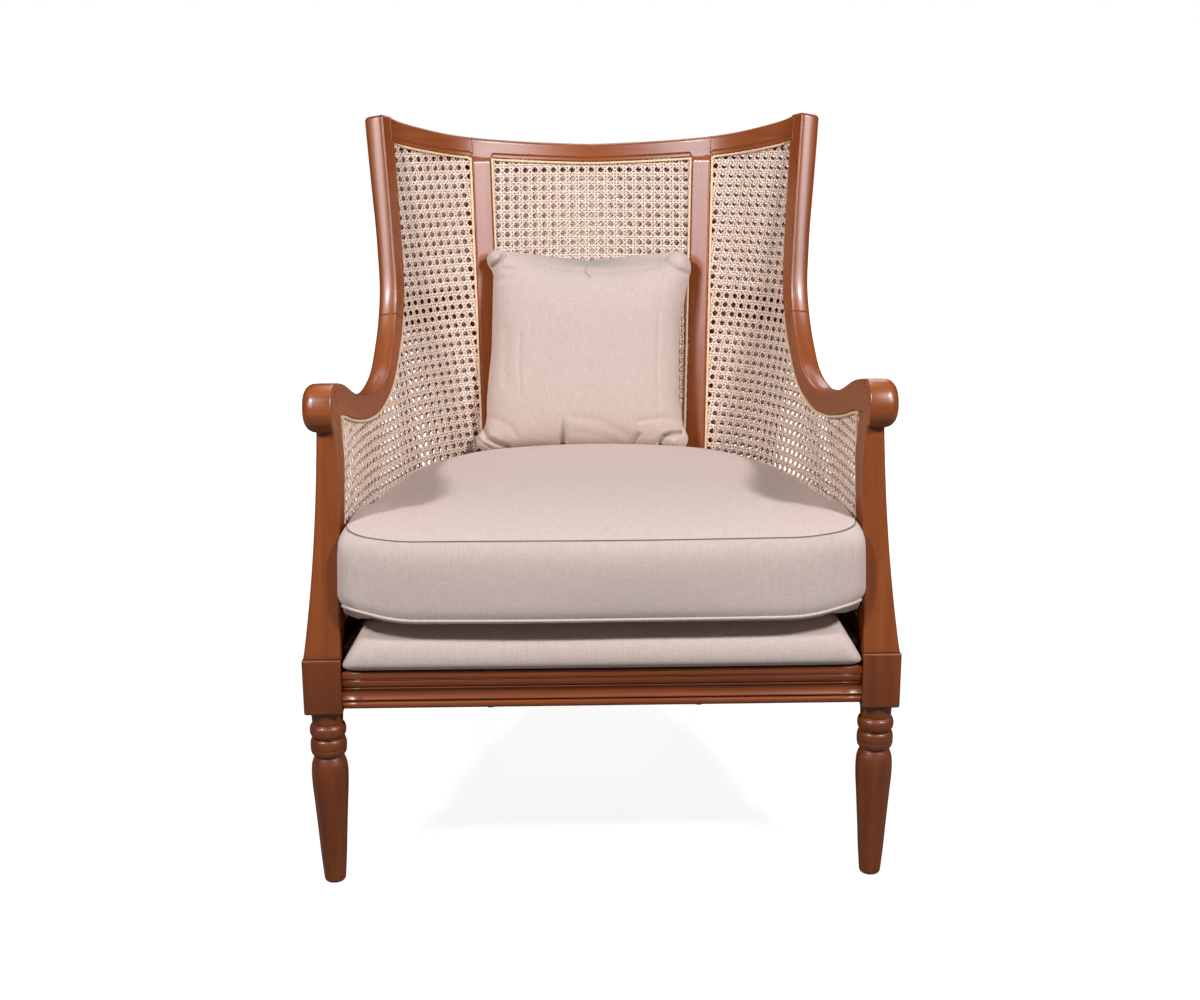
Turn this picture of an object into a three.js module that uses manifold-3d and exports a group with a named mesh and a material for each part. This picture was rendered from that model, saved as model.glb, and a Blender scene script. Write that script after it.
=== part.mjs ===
// A tub shaped armchair: a wooden frame with scrolled arms and wings, double cane panels,
// an upholstered deck, a boxed seat cushion and a scatter cushion.
// Millimetres. +Z is up, the chair faces -Y, and the floor is at zero.
// Every upright, rail and cane sheet follows one curved wall, which is ruled between two plan
// curves: one at the top of the leg blocks and one at the head of the back.
import * as THREE from 'three';
import { LoftGeometry } from 'three/addons/geometries/LoftGeometry.js';
import { mergeVertices } from 'three/addons/utils/BufferGeometryUtils.js';
import Module from 'manifold-3d';

const wasm = await Module();
wasm.setup();

// Fits
const gap = 0.3;
const overrun = 3;
const weldReach = 0.002;
const tiny = 0.02;

// Front legs and their blocks
const chairHalfWidth = 370;
const blockWidth = 50;
const blockHeight = 72;
const legHeight = 234;
const blockEdge = 2;
const footRadius = 13.6;
const footRounding = 5;
const taperRadius = 20.7;
const bellyRadius = 23;
const ringRadius = 22.8;
const grooveRadius = 17.8;
const neckRadius = 19.6;
const legSides = 14;
// How far the rounding of the foot is drawn in and raised at its middle
const footRoundingShares = [0.3, 0.35];
// The turned outline: a radius, the share of that radius and the share of the leg height
const turningShares = [
  [taperRadius, 1, 0.457], [bellyRadius, 1, 0.585], [bellyRadius, 0.985, 0.655],
  [grooveRadius, 1.06, 0.725], [grooveRadius, 1, 0.735],
  [ringRadius, 0.93, 0.76], [ringRadius, 1, 0.8], [ringRadius, 0.9, 0.835], [grooveRadius, 1, 0.85],
  [ringRadius, 0.92, 0.868], [ringRadius, 1, 0.887], [ringRadius, 0.9, 0.91], [grooveRadius, 1, 0.922],
  [neckRadius, 1, 0.945],
];

// The curved wall
const wallSetIn = 3;
const wallThickness = 30;
const footDepth = 525;
const headDepth = 631;
const headDrawIn = 15;
const headLevel = 900;
const footXShares = [0, 0.464, 0.684, 0.793, 0.929, 0.994, 1];
const footYShares = [1, 0.939, 0.838, 0.67, 0.41, 0.181, 0];
const headXShares = [0, 0.539, 0.805, 0.964, 1, 0.984, 0.974];
const headYShares = [1, 0.941, 0.84, 0.732, 0.523, 0.19, 0];

// Seat rails
const railRise = 11;
const railHeight = 44;
const railThickness = 28;
const railSetBack = 3;
const railInner = 5;
const railBandHeight = 11;
const railBeadHeight = 4;
const railStep = 2.5;
const railCoveDepth = 6;
const railFootBand = 8;
const railEdge = 2.5;
const railTenonThickness = 10;
const railTenonHeight = 28;
const railTenonLength = 20;
const sideRailTenonShift = 5;

// Back posts
const stileWayShare = 1 / 6;
const stileWidth = 29;
const postFootWidth = 40;
const postFootThickness = 38;
const rearFootWidth = 28;
const rearFootThickness = 28;
const rearFootSplay = 11.8;
const rearFootRake = 116.2;
const rearKneeDrop = 130;
const postTopTenonLength = 9;
const postTenonWidth = 16;
const postTenonThickness = 12;
const postRailTenonLength = 14;

// Lower panel rails
const panelRailLift = 0.5;
const panelRailHeight = 28;
const stubTenonLength = 10;
const stubTenonHeight = 16;
const stubTenonThickness = 10;

// Arm posts
const armPostFrontFoot = 4;
const armPostFrontHead = 8;
const armPostRearFoot = 46;
const armPostRearHead = 64;
const armPostHeadThickness = 27;
const armPostFootThickness = 41;
const armPostFlarePower = 2.2;
const armPostEdge = 4;
const armPostTenonRadius = 8;
const armPostTenonLength = 20;
const armPostHeadTenonWidth = 22;
const armPostHeadTenonThickness = 12;
const armPostHeadTenonLength = 14;

// Arm and wing line, as ways round the wall and heights above the dip
const wingTop = 952;
const armDip = 574;
const rollHeight = 619;
const wingJointRiseShare = 0.2672;
const barWidth = 27;
const armWayShares = [
  0.468, 0.468, 0.47, 0.475, 0.494, 0.523, 0.565, 0.625, 0.685, 0.737, 0.79, 0.867, 0.97,
];
const wingRiseShares = [1, 0.73, 0.5185, 0.373, 0.259, 0.156, 0.053, 0];
const rollRiseShares = [0.01, 0.19, 0.44, 0.8, 1];
const rollRadius = 28;
const rollWidth = 34;
const rollCentreY = 17;
const rollOut = 5;
const rollEdge = 3;
const rollSides = 20;
const armWidenWayShare = 0.78;
const barFreeRounding = 9;
const barCaneRounding = 2;
const barTenonWidth = 11;
const barTenonThickness = 12;
const barTenonLength = 18;

// Crest rail
const crestUnderMiddle = 886;
const crestMiddleHeight = 26;
const crestEndGain = 7;
const crestSweep = 33;
const crestSweepPower = 1.4;
const crestEndWayShare = 0.45;
const crestTenonThickness = 12;
const crestTenonHeight = 11;
const crestTenonRise = 4;
const crestTenonLength = 12;
const crestEdge = 4;

// Wing brace between the cane layers
const braceMiddle = 677;
const braceHeight = 44;
const braceHousing = 5;
const braceClear = 2.8;

// Cane sheets and splines
const caneSetBack = 3;
const caneThickness = 2;
const caneLap = 4;
const splineWidth = 5;
const splineThickness = 2;
const splineClear = 1.1;
const splineLift = 0.8;

// Corner blocks and their screws
const cornerReach = 62;
const cornerHeight = 30;
const cornerRise = 8;
const cleatThickness = 20;
const screwRadius = 2.5;
const screwHeadRadius = 5;
const screwHeadHeight = 3;
const frontScrewLength = 57;
const rearScrewLength = 42;
const screwSides = 12;

// Webbing
const strapWidth = 50;
const strapThickness = 1.5;
const longStrapCount = 4;
const longStrapPitchShare = 0.2094;
const crossStrapCount = 3;
const crossStrapPitchShare = 0.219;
const crossStrapMiddleShare = 0.4857;
const strapLanding = 20;

// Seat deck
const deckRise = 116;
const deckSetIn = 2;
const deckFrontY = 2;
const deckFrontSwell = 3;
const deckRounding = 16;
const deckShoulderInShare = 0.25;
const deckShoulderDownShare = 0.33;
const deckFlangeOut = 24;
const deckCornerRadius = 14;

// Seat cushion
const cushionSeamTopRise = 109;
const cushionSeamBottomRise = 8;
const cushionFrontY = -20;
const cushionSetIn = 2.2;
const cushionCrown = 24;
const cushionBulge = 3;
const cushionFrontBulge = 7;
const cushionCornerRadius = 40;
const cushionFootSetIn = 14;
const cushionCentreShare = 0.476;
// How far in each ring of the crown lies, and how high
const cushionCrownShares = [[0.93, 0.3], [0.8, 0.62], [0.6, 0.86], [0.35, 1]];

// Scatter cushion
const scatterWidth = 306;
const scatterHeight = 292;
const scatterThickness = 96;
const scatterX = -9;
const scatterStandOff = 28.5;
const scatterCrownClear = 6;
const scatterSink = 8.1;
const scatterLean = 12.5;
const scatterEar = 11;
const scatterBow = 7;
const scatterSeam = 4;
const scatterEarPower = 6;
const scatterCrownPower = 4;

// Dust cover
const dustThickness = 1.2;
const dustOut = 18;

// Steps of the curved shapes
const bandStep = 42;
const caneRows = 3;
const middleColumns = 8;
const crestColumns = 7;
const lastCaneShare = 0.935;
const caneFanWayShare = 0.385;
const caneFanPower = 1.5;
const wayStepShare = 0.003;
const barSteps = 14;
const armPostSteps = 7;
const rearLegSteps = 6;
const outlineWaySteps = 12;
const outlineCornerSteps = 3;
const outlineFrontSteps = 3;
const scatterSteps = 12;

// Heights and places that follow from the sizes above
const wingJointHeight = armDip + wingJointRiseShare * (wingTop - armDip);
const cushionCentreY = cushionCentreShare * footDepth;
const longStrapPitch = longStrapPitchShare * (chairHalfWidth - blockWidth);
const crossStrapPitch = crossStrapPitchShare * footDepth;
const crossStrapMiddleY = crossStrapMiddleShare * footDepth;
const footLevel = legHeight + blockHeight;
const railBottom = legHeight + railRise;
const panelRailBottom = footLevel + panelRailLift;
const deckTop = legHeight + deckRise;
const cushionSeamTop = deckTop + cushionSeamTopRise;
const cushionSeamBottom = deckTop + cushionSeamBottomRise;
const railTop = railBottom + railHeight;
const blockInner = chairHalfWidth - blockWidth;
const blockCentreX = chairHalfWidth - blockWidth / 2;
const blockCentreY = blockWidth / 2;
const footHalfWidth = blockInner + wallSetIn;
const headHalfWidth = footHalfWidth - headDrawIn;
const panelRailTop = panelRailBottom + panelRailHeight;
const longStrapBottom = railTop + gap;
const crossStrapBottom = longStrapBottom + strapThickness + gap;
const deckBottom = crossStrapBottom + strapThickness + gap;

// Wood, cane and cloth
const makeMaterial = (color, roughness, metalness = 0) => new THREE.MeshStandardMaterial({
  color, roughness, metalness,
});
const wood = () => makeMaterial(0x8a4a2a, 0.38);
const legWood = () => makeMaterial(0x7a3f26, 0.4);
const hiddenWood = () => makeMaterial(0xa9764a, 0.7);
const cane = () => makeMaterial(0xd9b48f, 0.6);
const spline = () => makeMaterial(0xd8b077, 0.5);
const linen = () => makeMaterial(0xc3a598, 0.9);
const jute = () => makeMaterial(0x9c7b52, 0.9);
const cambric = () => makeMaterial(0x2a2624, 0.9);
const steel = () => makeMaterial(0x9a9a98, 0.4, 1);

// Solids: a closed geometry becomes a solid that can be cut and joined, and back again.
function solid(geometry) {
  const bare = new THREE.BufferGeometry();
  bare.setAttribute('position', geometry.getAttribute('position'));
  bare.setIndex(geometry.getIndex());
  const welded = mergeVertices(bare, weldReach);
  const corners = welded.getIndex().array;
  const places = welded.getAttribute('position');
  const kept = [];
  const [a, b, c] = [new THREE.Vector3(), new THREE.Vector3(), new THREE.Vector3()];
  let volume = 0;
  for (let i = 0; i < corners.length; i += 3) {
    const [p, q, r] = [corners[i], corners[i + 1], corners[i + 2]];
    if (p === q || q === r || r === p) continue;
    kept.push(p, q, r);
    a.fromBufferAttribute(places, p);
    b.fromBufferAttribute(places, q);
    c.fromBufferAttribute(places, r);
    volume += a.dot(b.cross(c));
  }
  if (volume < 0) kept.reverse();
  return new wasm.Manifold(new wasm.Mesh({
    numProp: 3,
    vertProperties: new Float32Array(places.array),
    triVerts: new Uint32Array(kept),
  }));
}

function geometryOf(body) {
  const mesh = body.getMesh();
  const geometry = new THREE.BufferGeometry();
  geometry.setAttribute('position', new THREE.BufferAttribute(mesh.vertProperties, 3));
  geometry.setIndex(new THREE.BufferAttribute(mesh.triVerts, 1));
  geometry.computeVertexNormals();
  return geometry;
}

// A loft whose ends close on the line halfway between each point and its opposite one. It fits
// convex sections and thin strips.
const middleLine = (section) => section.map((point, i) => point.clone().lerp(section.at(-1 - i), 1 / 2));
const loft = (sections) => solid(new LoftGeometry([
  middleLine(sections[0]), ...sections, middleLine(sections.at(-1)),
]));
const hoop = (sections) => solid(new LoftGeometry([...sections, sections[0]]));

function placed(geometry, position, rotation = new THREE.Euler()) {
  const turn = new THREE.Quaternion().setFromEuler(rotation);
  const size = new THREE.Vector3(1, 1, 1);
  return solid(geometry.clone().applyMatrix4(new THREE.Matrix4().compose(position, turn, size)));
}

const raisedTo = (height, outline) => outline.map(([x, y]) => new THREE.Vector3(x, y, height));

// The box between two corners.
function boxBetween(low, high) {
  const size = new THREE.Vector3().subVectors(high, low);
  const middle = new THREE.Vector3().addVectors(low, high).divideScalar(2);
  return placed(new THREE.BoxGeometry(size.x, size.y, size.z), middle);
}

// The wall. way runs from -1 at the left arm post, through 0 at the middle of the back, to 1.
function planCurve(xShares, yShares, halfWidth, depth) {
  const right = xShares.map((share, i) => new THREE.Vector3(share * halfWidth, yShares[i] * depth, 0));
  const left = right.slice(1).reverse().map((point) => new THREE.Vector3(-point.x, point.y, 0));
  return new THREE.CatmullRomCurve3([...left, ...right], false, 'catmullrom');
}
const footPlan = planCurve(footXShares, footYShares, footHalfWidth, footDepth);
const headPlan = planCurve(headXShares, headYShares, headHalfWidth, headDepth);

function onWall(way, height) {
  const along = (way + 1) / 2;
  const rise = (height - footLevel) / (headLevel - footLevel);
  const point = footPlan.getPoint(along).lerp(headPlan.getPoint(along), rise);
  point.z = height;
  return point;
}

// One step round the wall at a height: its level direction, and how many millimetres a way is.
function wallStep(way, height) {
  const back = Math.max(way - wayStepShare, -1);
  const on = Math.min(way + wayStepShare, 1);
  const step = onWall(on, height).sub(onWall(back, height));
  const perWay = step.length() / (on - back);
  return { tangent: step.normalize(), perWay };
}

function outwardAt(way, height) {
  const { tangent } = wallStep(way, height);
  return new THREE.Vector3(-tangent.y, tangent.x, 0);
}

const wallPoint = (way, height, out) => onWall(way, height).addScaledVector(outwardAt(way, height), out);
const wayPast = (way, height, distance) => way + distance / wallStep(way, height).perWay;

// The way at which the wall passes nearest to a point.
function wayOf(point, guess) {
  let way = guess;
  for (let i = 0; i < 8; i++) {
    const { tangent, perWay } = wallStep(way, point.z);
    way += point.clone().sub(onWall(way, point.z)).dot(tangent) / perWay;
  }
  return way;
}

// The way at which the right side of the wall has a given depth.
function wayAtDepth(y, height) {
  let [near, far] = [1, 0];
  for (let i = 0; i < 40; i++) {
    const middle = (near + far) / 2;
    if (onWall(middle, height).y < y) near = middle;
    else far = middle;
  }
  return (near + far) / 2;
}

// The way at which the back of the wall has a given distance from the middle.
function wayAtWidth(x, height) {
  let [near, far] = [0, 1 / 2];
  for (let i = 0; i < 40; i++) {
    const middle = (near + far) / 2;
    if (onWall(middle, height).x < x) near = middle;
    else far = middle;
  }
  return near;
}

// A rail along the wall. The section lists [out, height] pairs for each way.
function band(from, to, section, grow = 0) {
  const height = section(from)[0][1];
  const length = wallStep((from + to) / 2, height).perWay * (to - from);
  const count = Math.max(1, Math.ceil(length / bandStep));
  const ways = [];
  for (let i = 0; i <= count; i++) ways.push(from + ((to - from) * i) / count);
  ways[0] = wayPast(from, height, -grow);
  ways[count] = wayPast(to, height, grow);
  return loft(ways.map((way) => section(way).map(([out, level]) => wallPoint(way, level, out))));
}

const valueAt = (value, way) => (typeof value === 'function' ? value(way) : value);

// A four sided section with small chamfers.
function plainSection(low, high, inner, outer, edge = 0, grow = 0) {
  return (way) => {
    const [bottom, top] = [valueAt(low, way) - grow, valueAt(high, way) + grow];
    const [near, far] = [inner - grow, outer + grow];
    if (edge === 0) return [[near, bottom], [far, bottom], [far, top], [near, top]];
    return [
      [near + edge, bottom], [far - edge, bottom], [far, bottom + edge], [far, top - edge],
      [far - edge, top], [near + edge, top], [near, top - edge], [near, bottom + edge],
    ];
  };
}

// Seat rail section: a band, a bead, a cove and a foot band on the outer face.
function railProfile(inner, outer) {
  const coveTop = railTop - railBandHeight - railBeadHeight;
  const coveFoot = railBottom + railFootBand + railBeadHeight;
  return [
    [inner, railBottom],
    [outer, railBottom],
    [outer, railBottom + railFootBand],
    [outer - railStep, railBottom + railFootBand],
    [outer - railStep, coveFoot],
    [outer - railCoveDepth, (coveFoot + coveTop) / 2],
    [outer - railStep, coveTop],
    [outer - railStep, railTop - railBandHeight],
    [outer, railTop - railBandHeight],
    [outer, railTop],
    [inner, railTop],
  ];
}
const railOuter = railInner + railThickness;

// The arm and wing line on the right side, from the crest corner down and forward to the roll.
const wingHeights = wingRiseShares.map((share) => armDip + share * (wingTop - armDip));
const rollHeights = rollRiseShares.map((share) => armDip + share * (rollHeight - armDip));
const armHeights = [...wingHeights, ...rollHeights];
const armLine = new THREE.SplineCurve(armWayShares.map((way, i) => new THREE.Vector2(way, armHeights[i])));

// The station on the arm line where the wing has a given height.
function stationAtHeight(height) {
  let [above, below] = [0, (wingRiseShares.length - 1) / (armWayShares.length - 1)];
  for (let i = 0; i < 40; i++) {
    const middle = (above + below) / 2;
    if (armLine.getPoint(middle).y > height) above = middle;
    else below = middle;
  }
  return (above + below) / 2;
}
const jointStation = stationAtHeight(wingJointHeight);

// Place and directions of the arm bar at a station: along it, across it towards the cane, and outward.
function armFrame(station) {
  const here = armLine.getPoint(station);
  const back = armLine.getPoint(Math.max(station - wayStepShare, 0));
  const on = armLine.getPoint(Math.min(station + wayStepShare, 1));
  const along = onWall(on.x, on.y).sub(onWall(back.x, back.y)).normalize();
  const outward = outwardAt(here.x, here.y);
  outward.addScaledVector(along, -outward.dot(along)).normalize();
  const across = new THREE.Vector3().crossVectors(outward, along);
  const widen = THREE.MathUtils.smoothstep(here.x, armWidenWayShare, armWayShares.at(-1));
  const inner = rollOut * widen;
  const outer = wallThickness + (rollOut + rollWidth - wallThickness) * widen;
  const origin = onWall(here.x, here.y);
  return { origin, along, outward, across, inner, outer, way: here.x, height: here.y };
}

// The bar section as [across, out] pairs, rounded on the free side.
function barSection(frame, grow) {
  const half = barWidth / 2 + grow;
  const [near, far] = [frame.inner - grow, frame.outer + grow];
  const big = barFreeRounding;
  const small = barCaneRounding;
  const corners = [
    [half, near, small, Math.PI * 1.5], [half, far, small, 0],
    [-half, far, big, Math.PI / 2], [-half, near, big, Math.PI],
  ];
  const points = [];
  for (const [across, out, radius, turn] of corners) {
    const centreAcross = across - Math.sign(across) * radius;
    const centreOut = out === near ? out + radius : out - radius;
    const steps = radius === big ? 2 : 1;
    for (let i = 0; i <= steps; i++) {
      const angle = turn + ((Math.PI / 2) * i) / steps;
      points.push([centreAcross + radius * Math.cos(angle), centreOut + radius * Math.sin(angle)]);
    }
  }
  return points;
}

// The bar, the cane and its spline share these stations, so their flat steps match.
function stationsBetween(from, to) {
  const stations = [from];
  for (let i = 0; i <= barSteps; i++) {
    const station = i / barSteps;
    if (station > from + wayStepShare && station < to - wayStepShare) stations.push(station);
  }
  stations.push(to);
  return stations;
}

function armBar(from, to, grow = 0, headroom = 0) {
  const sections = stationsBetween(from, to).map((station) => {
    const frame = armFrame(station);
    return barSection(frame, grow).map(([across, out]) => frame.origin.clone()
      .addScaledVector(frame.across, across)
      .addScaledVector(frame.outward, out));
  });
  const { along } = armFrame(from);
  const raised = sections[0].map((point) => point.clone().addScaledVector(along, -headroom));
  if (headroom > 0) sections.unshift(raised);
  return loft(sections);
}

// A tenon that runs on along the bar from a station.
function barTenon(station, length, grow) {
  const frame = armFrame(station);
  const middle = (frame.inner + frame.outer) / 2;
  const [half, thick] = [barTenonWidth / 2 + grow, barTenonThickness / 2 + grow];
  const corners = [[-half, -thick], [half, -thick], [half, thick], [-half, thick]];
  const ends = [-overrun, length + grow].map((reach) => corners.map(([across, out]) => frame.origin.clone()
    .addScaledVector(frame.across, across)
    .addScaledVector(frame.outward, middle + out)
    .addScaledVector(frame.along, reach)));
  return loft(ends);
}

// The cane side edge of the arm bar, as [way, height] at one outward distance.
function armEdge(station, into, out) {
  const frame = armFrame(station);
  const edge = frame.origin.clone()
    .addScaledVector(frame.across, barWidth / 2 - into)
    .addScaledVector(frame.outward, out);
  return [wayOf(edge, frame.way), edge.z];
}

// Crest rail levels
const crestShare = (way) => (Math.abs(way) / crestEndWayShare) ** crestSweepPower;
const crestUnder = (way) => crestUnderMiddle + crestSweep * crestShare(way);
const crestOver = (way) => crestUnder(way) + crestMiddleHeight + crestEndGain * crestShare(way);
function stileEdgeWay(height, side, into = 0, out = 0) {
  const edge = wallPoint(stileWayShare, height, out)
    .addScaledVector(wallStep(stileWayShare, height).tangent, side * (stileWidth / 2 - into));
  return wayOf(edge, stileWayShare);
}

// Front leg: a turned leg and a square block in one piece.
function frontLeg() {
  const [drawnInShare, raisedShare] = footRoundingShares;
  const profile = [
    [0, 0],
    [footRadius - footRounding, 0],
    [footRadius - footRounding * drawnInShare, footRounding * raisedShare],
    [footRadius, footRounding],
    ...turningShares.map(([radius, share, heightShare]) => [radius * share, legHeight * heightShare]),
    [neckRadius, legHeight + tiny],
    [0, legHeight + tiny],
  ];
  const points = profile.map(([radius, height]) => new THREE.Vector2(radius, height));
  const turned = placed(
    new THREE.LatheGeometry(points, legSides),
    new THREE.Vector3(blockCentreX, blockCentreY, 0),
    new THREE.Euler(Math.PI / 2, 0, 0),
  );
  return turned.add(legBlock(0));
}

function legBlock(grow) {
  const half = blockWidth / 2 + grow;
  const outline = (inset) => {
    const [far, cut] = [half - inset, half - inset - blockEdge];
    const corners = [
      [cut, -far], [far, -cut], [far, cut], [cut, far],
      [-cut, far], [-far, cut], [-far, -cut], [-cut, -far],
    ];
    return corners.map(([x, y]) => [blockCentreX + x, blockCentreY + y]);
  };
  const levels = [
    [legHeight - grow, blockEdge], [legHeight - grow + blockEdge, 0],
    [footLevel + grow - blockEdge, 0], [footLevel + grow, blockEdge],
  ];
  return loft(levels.map(([height, inset]) => raisedTo(height, outline(inset))));
}

// Arm post: it flares outward to the block and leans with the wall.
const armPostHead = rollHeight;
function armPostSection(height, grow) {
  const rise = THREE.MathUtils.clamp((height - footLevel) / (armPostHead - footLevel), 0, 1);
  const flare = (armPostFootThickness - armPostHeadThickness) * (1 - rise) ** armPostFlarePower;
  const inner = onWall(1, height).x - grow;
  const outer = onWall(1, height).x + armPostHeadThickness + flare + grow;
  const front = THREE.MathUtils.lerp(armPostFrontFoot, armPostFrontHead, rise) - grow;
  const rear = THREE.MathUtils.lerp(armPostRearFoot, armPostRearHead, rise) + grow;
  return [
    [inner + armPostEdge, front], [outer - armPostEdge, front],
    [outer, front + armPostEdge], [outer, rear - armPostEdge],
    [outer - armPostEdge, rear], [inner + armPostEdge, rear],
    [inner, rear - armPostEdge], [inner, front + armPostEdge],
  ].map(([x, y]) => new THREE.Vector3(x, y, height));
}
function armPost(low, high, grow = 0) {
  const sections = [];
  for (let i = 0; i <= armPostSteps; i++) {
    sections.push(armPostSection(low + ((high - low) * i) / armPostSteps, grow));
  }
  return loft(sections);
}
const armPostRear = (height) => {
  const rise = (height - footLevel) / (armPostHead - footLevel);
  return THREE.MathUtils.lerp(armPostRearFoot, armPostRearHead, rise);
};

function armPostFootTenon(grow) {
  const radius = armPostTenonRadius + grow;
  const length = armPostTenonLength + grow + overrun;
  const middle = new THREE.Vector3(blockCentreX, blockCentreY, footLevel + overrun - length / 2);
  const upright = new THREE.Euler(Math.PI / 2, 0, 0);
  return placed(new THREE.CylinderGeometry(radius, radius, length, legSides), middle, upright);
}

// The tenon on the head of the arm post stands in the underside of the arm.
function armPostHeadTenon(grow) {
  const y = (armPostFrontHead + armPostRearHead) / 2;
  const x = onWall(1, armPostHead).x + armPostHeadThickness / 2 + rollOut / 2;
  const top = rollHeight - rollRadius + overrun + armPostHeadTenonLength;
  const half = new THREE.Vector3(armPostHeadTenonThickness / 2 + grow, armPostHeadTenonWidth / 2 + grow, 0);
  const low = new THREE.Vector3(x, y, rollHeight - rollRadius - overrun * 2).sub(half);
  const high = new THREE.Vector3(x, y, top + grow).add(half);
  return boxBetween(low, high);
}

// Arm: the swept bar with the roll at its front end.
function roll(grow) {
  const [half, radius] = [rollWidth / 2 + grow, rollRadius + grow];
  const profile = [
    [0, -half], [radius - rollEdge, -half], [radius, rollEdge - half],
    [radius, half - rollEdge], [radius - rollEdge, half], [0, half],
  ].map(([r, along]) => new THREE.Vector2(r, along));
  const x = onWall(armWayShares.at(-1), rollHeight).x + rollOut + rollWidth / 2;
  const middle = new THREE.Vector3(x, rollCentreY, rollHeight);
  return placed(new THREE.LatheGeometry(profile, rollSides), middle, new THREE.Euler(0, 0, -Math.PI / 2));
}
const armWhole = (grow) => armBar(jointStation, 1, grow).add(roll(grow));

// Back post: rear leg, foot of the wall and stile in one piece.
function backPost(grow = 0) {
  const top = crestUnder(stileWayShare) + crestMiddleHeight / 2;
  const seat = wallStep(stileWayShare, footLevel).tangent;
  const seatOut = outwardAt(stileWayShare, footLevel);
  const stations = [];
  const knee = wallPoint(stileWayShare, railTop, postFootThickness / 2);
  const foot = new THREE.Vector3(knee.x + rearFootSplay, knee.y + rearFootRake, 0);
  const lean = onWall(stileWayShare, railTop).sub(onWall(stileWayShare, railTop - rearKneeDrop));
  const legLine = new THREE.QuadraticBezierCurve3(foot, knee.clone().sub(lean), knee);
  for (let i = 0; i < rearLegSteps; i++) {
    const share = i / rearLegSteps;
    stations.push({
      middle: legLine.getPoint(share), tangent: seat, outward: seatOut,
      width: THREE.MathUtils.lerp(rearFootWidth, postFootWidth, share),
      thick: THREE.MathUtils.lerp(rearFootThickness, postFootThickness, share),
    });
  }
  for (const level of [railTop, panelRailBottom, panelRailTop, wingJointHeight, top]) {
    const swollen = level <= panelRailBottom;
    const [width, thick] = swollen ? [postFootWidth, postFootThickness] : [stileWidth, wallThickness];
    stations.push({
      middle: wallPoint(stileWayShare, level, thick / 2),
      tangent: wallStep(stileWayShare, level).tangent,
      outward: outwardAt(stileWayShare, level), width, thick,
    });
  }
  return loft(stations.map(({ middle, tangent, outward, width, thick }) => {
    const [half, deep] = [width / 2 + grow, thick / 2 + grow];
    const corners = [[half, -deep], [half, deep], [-half, deep], [-half, -deep]];
    return corners.map(([along, out]) => middle.clone()
      .addScaledVector(tangent, along)
      .addScaledVector(outward, out));
  }));
}

// Mirror of a solid in the middle plane of the chair.
function mirrored(body) {
  const geometry = geometryOf(body);
  geometry.scale(-1, 1, 1);
  return solid(geometry);
}

// Cane sheets. A bay is ruled between a bottom line and a top line of [way, height] points.
const bottomHeight = (grow) => panelRailTop - grow;

function middleBay(grow, out) {
  const line = (levelAt) => {
    const points = [];
    for (let i = 0; i <= middleColumns; i++) {
      const side = (2 * i) / middleColumns - 1;
      const way = side * stileEdgeWay(levelAt(stileWayShare * side), -1, grow, out);
      points.push([way, levelAt(way)]);
    }
    return points;
  };
  return [line(() => bottomHeight(grow)), line((way) => crestUnder(way) + grow)];
}

function sideBay(grow, out) {
  const firstStation = stationAtHeight(crestUnder(armWayShares[0]));
  const top = [];
  const innerWay = stileEdgeWay(crestUnder(stileWayShare), 1, grow, out);
  const [cornerWay] = armEdge(firstStation, grow, out);
  for (let i = 0; i <= crestColumns; i++) {
    const way = THREE.MathUtils.lerp(innerWay, cornerWay, i / crestColumns);
    top.push([way, crestUnder(way) + grow]);
  }
  const stations = stationsBetween(firstStation, lastCaneShare).slice(1);
  for (const station of stations) top.push(armEdge(station, grow, out));
  const frontHeight = top.at(-1)[1];
  top[top.length - 1] = [wayAtDepth(armPostRear(frontHeight) - grow, frontHeight), frontHeight];
  const low = bottomHeight(grow);
  const from = stileEdgeWay(low, 1, grow, out);
  const to = wayAtDepth(armPostRear(low) - grow, low);
  const bottom = top.map((_, i) => {
    const onBar = (i - crestColumns) / (top.length - 1 - crestColumns);
    if (onBar > 0) return [THREE.MathUtils.lerp(caneFanWayShare, to, onBar ** caneFanPower), low];
    return [THREE.MathUtils.lerp(from, caneFanWayShare, i / crestColumns), low];
  });
  return [bottom, top];
}

function columnOf([bottom, top], i) {
  const points = [];
  for (let row = 0; row <= caneRows; row++) {
    const share = row / caneRows;
    points.push([0, 1].map((axis) => THREE.MathUtils.lerp(bottom[i][axis], top[i][axis], share)));
  }
  return points;
}

function sheet(bay, grow, near, far) {
  const edges = bay(grow, (near + far) / 2);
  return loft(edges[0].map((_, i) => {
    const column = columnOf(edges, i);
    const face = (out) => column.map(([way, height]) => wallPoint(way, height, out));
    return [...face(near), ...face(far).reverse()];
  }));
}

const innerLayer = [caneSetBack, caneSetBack + caneThickness];
const outerLayer = [wallThickness - caneSetBack - caneThickness, wallThickness - caneSetBack];
const caneSheet = (bay, [near, far]) => sheet(bay, caneLap, near, far);
const caneGroove = (bay) => [innerLayer, outerLayer].map(
  ([near, far]) => sheet(bay, caneLap + gap, near - gap, far + gap),
);

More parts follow.
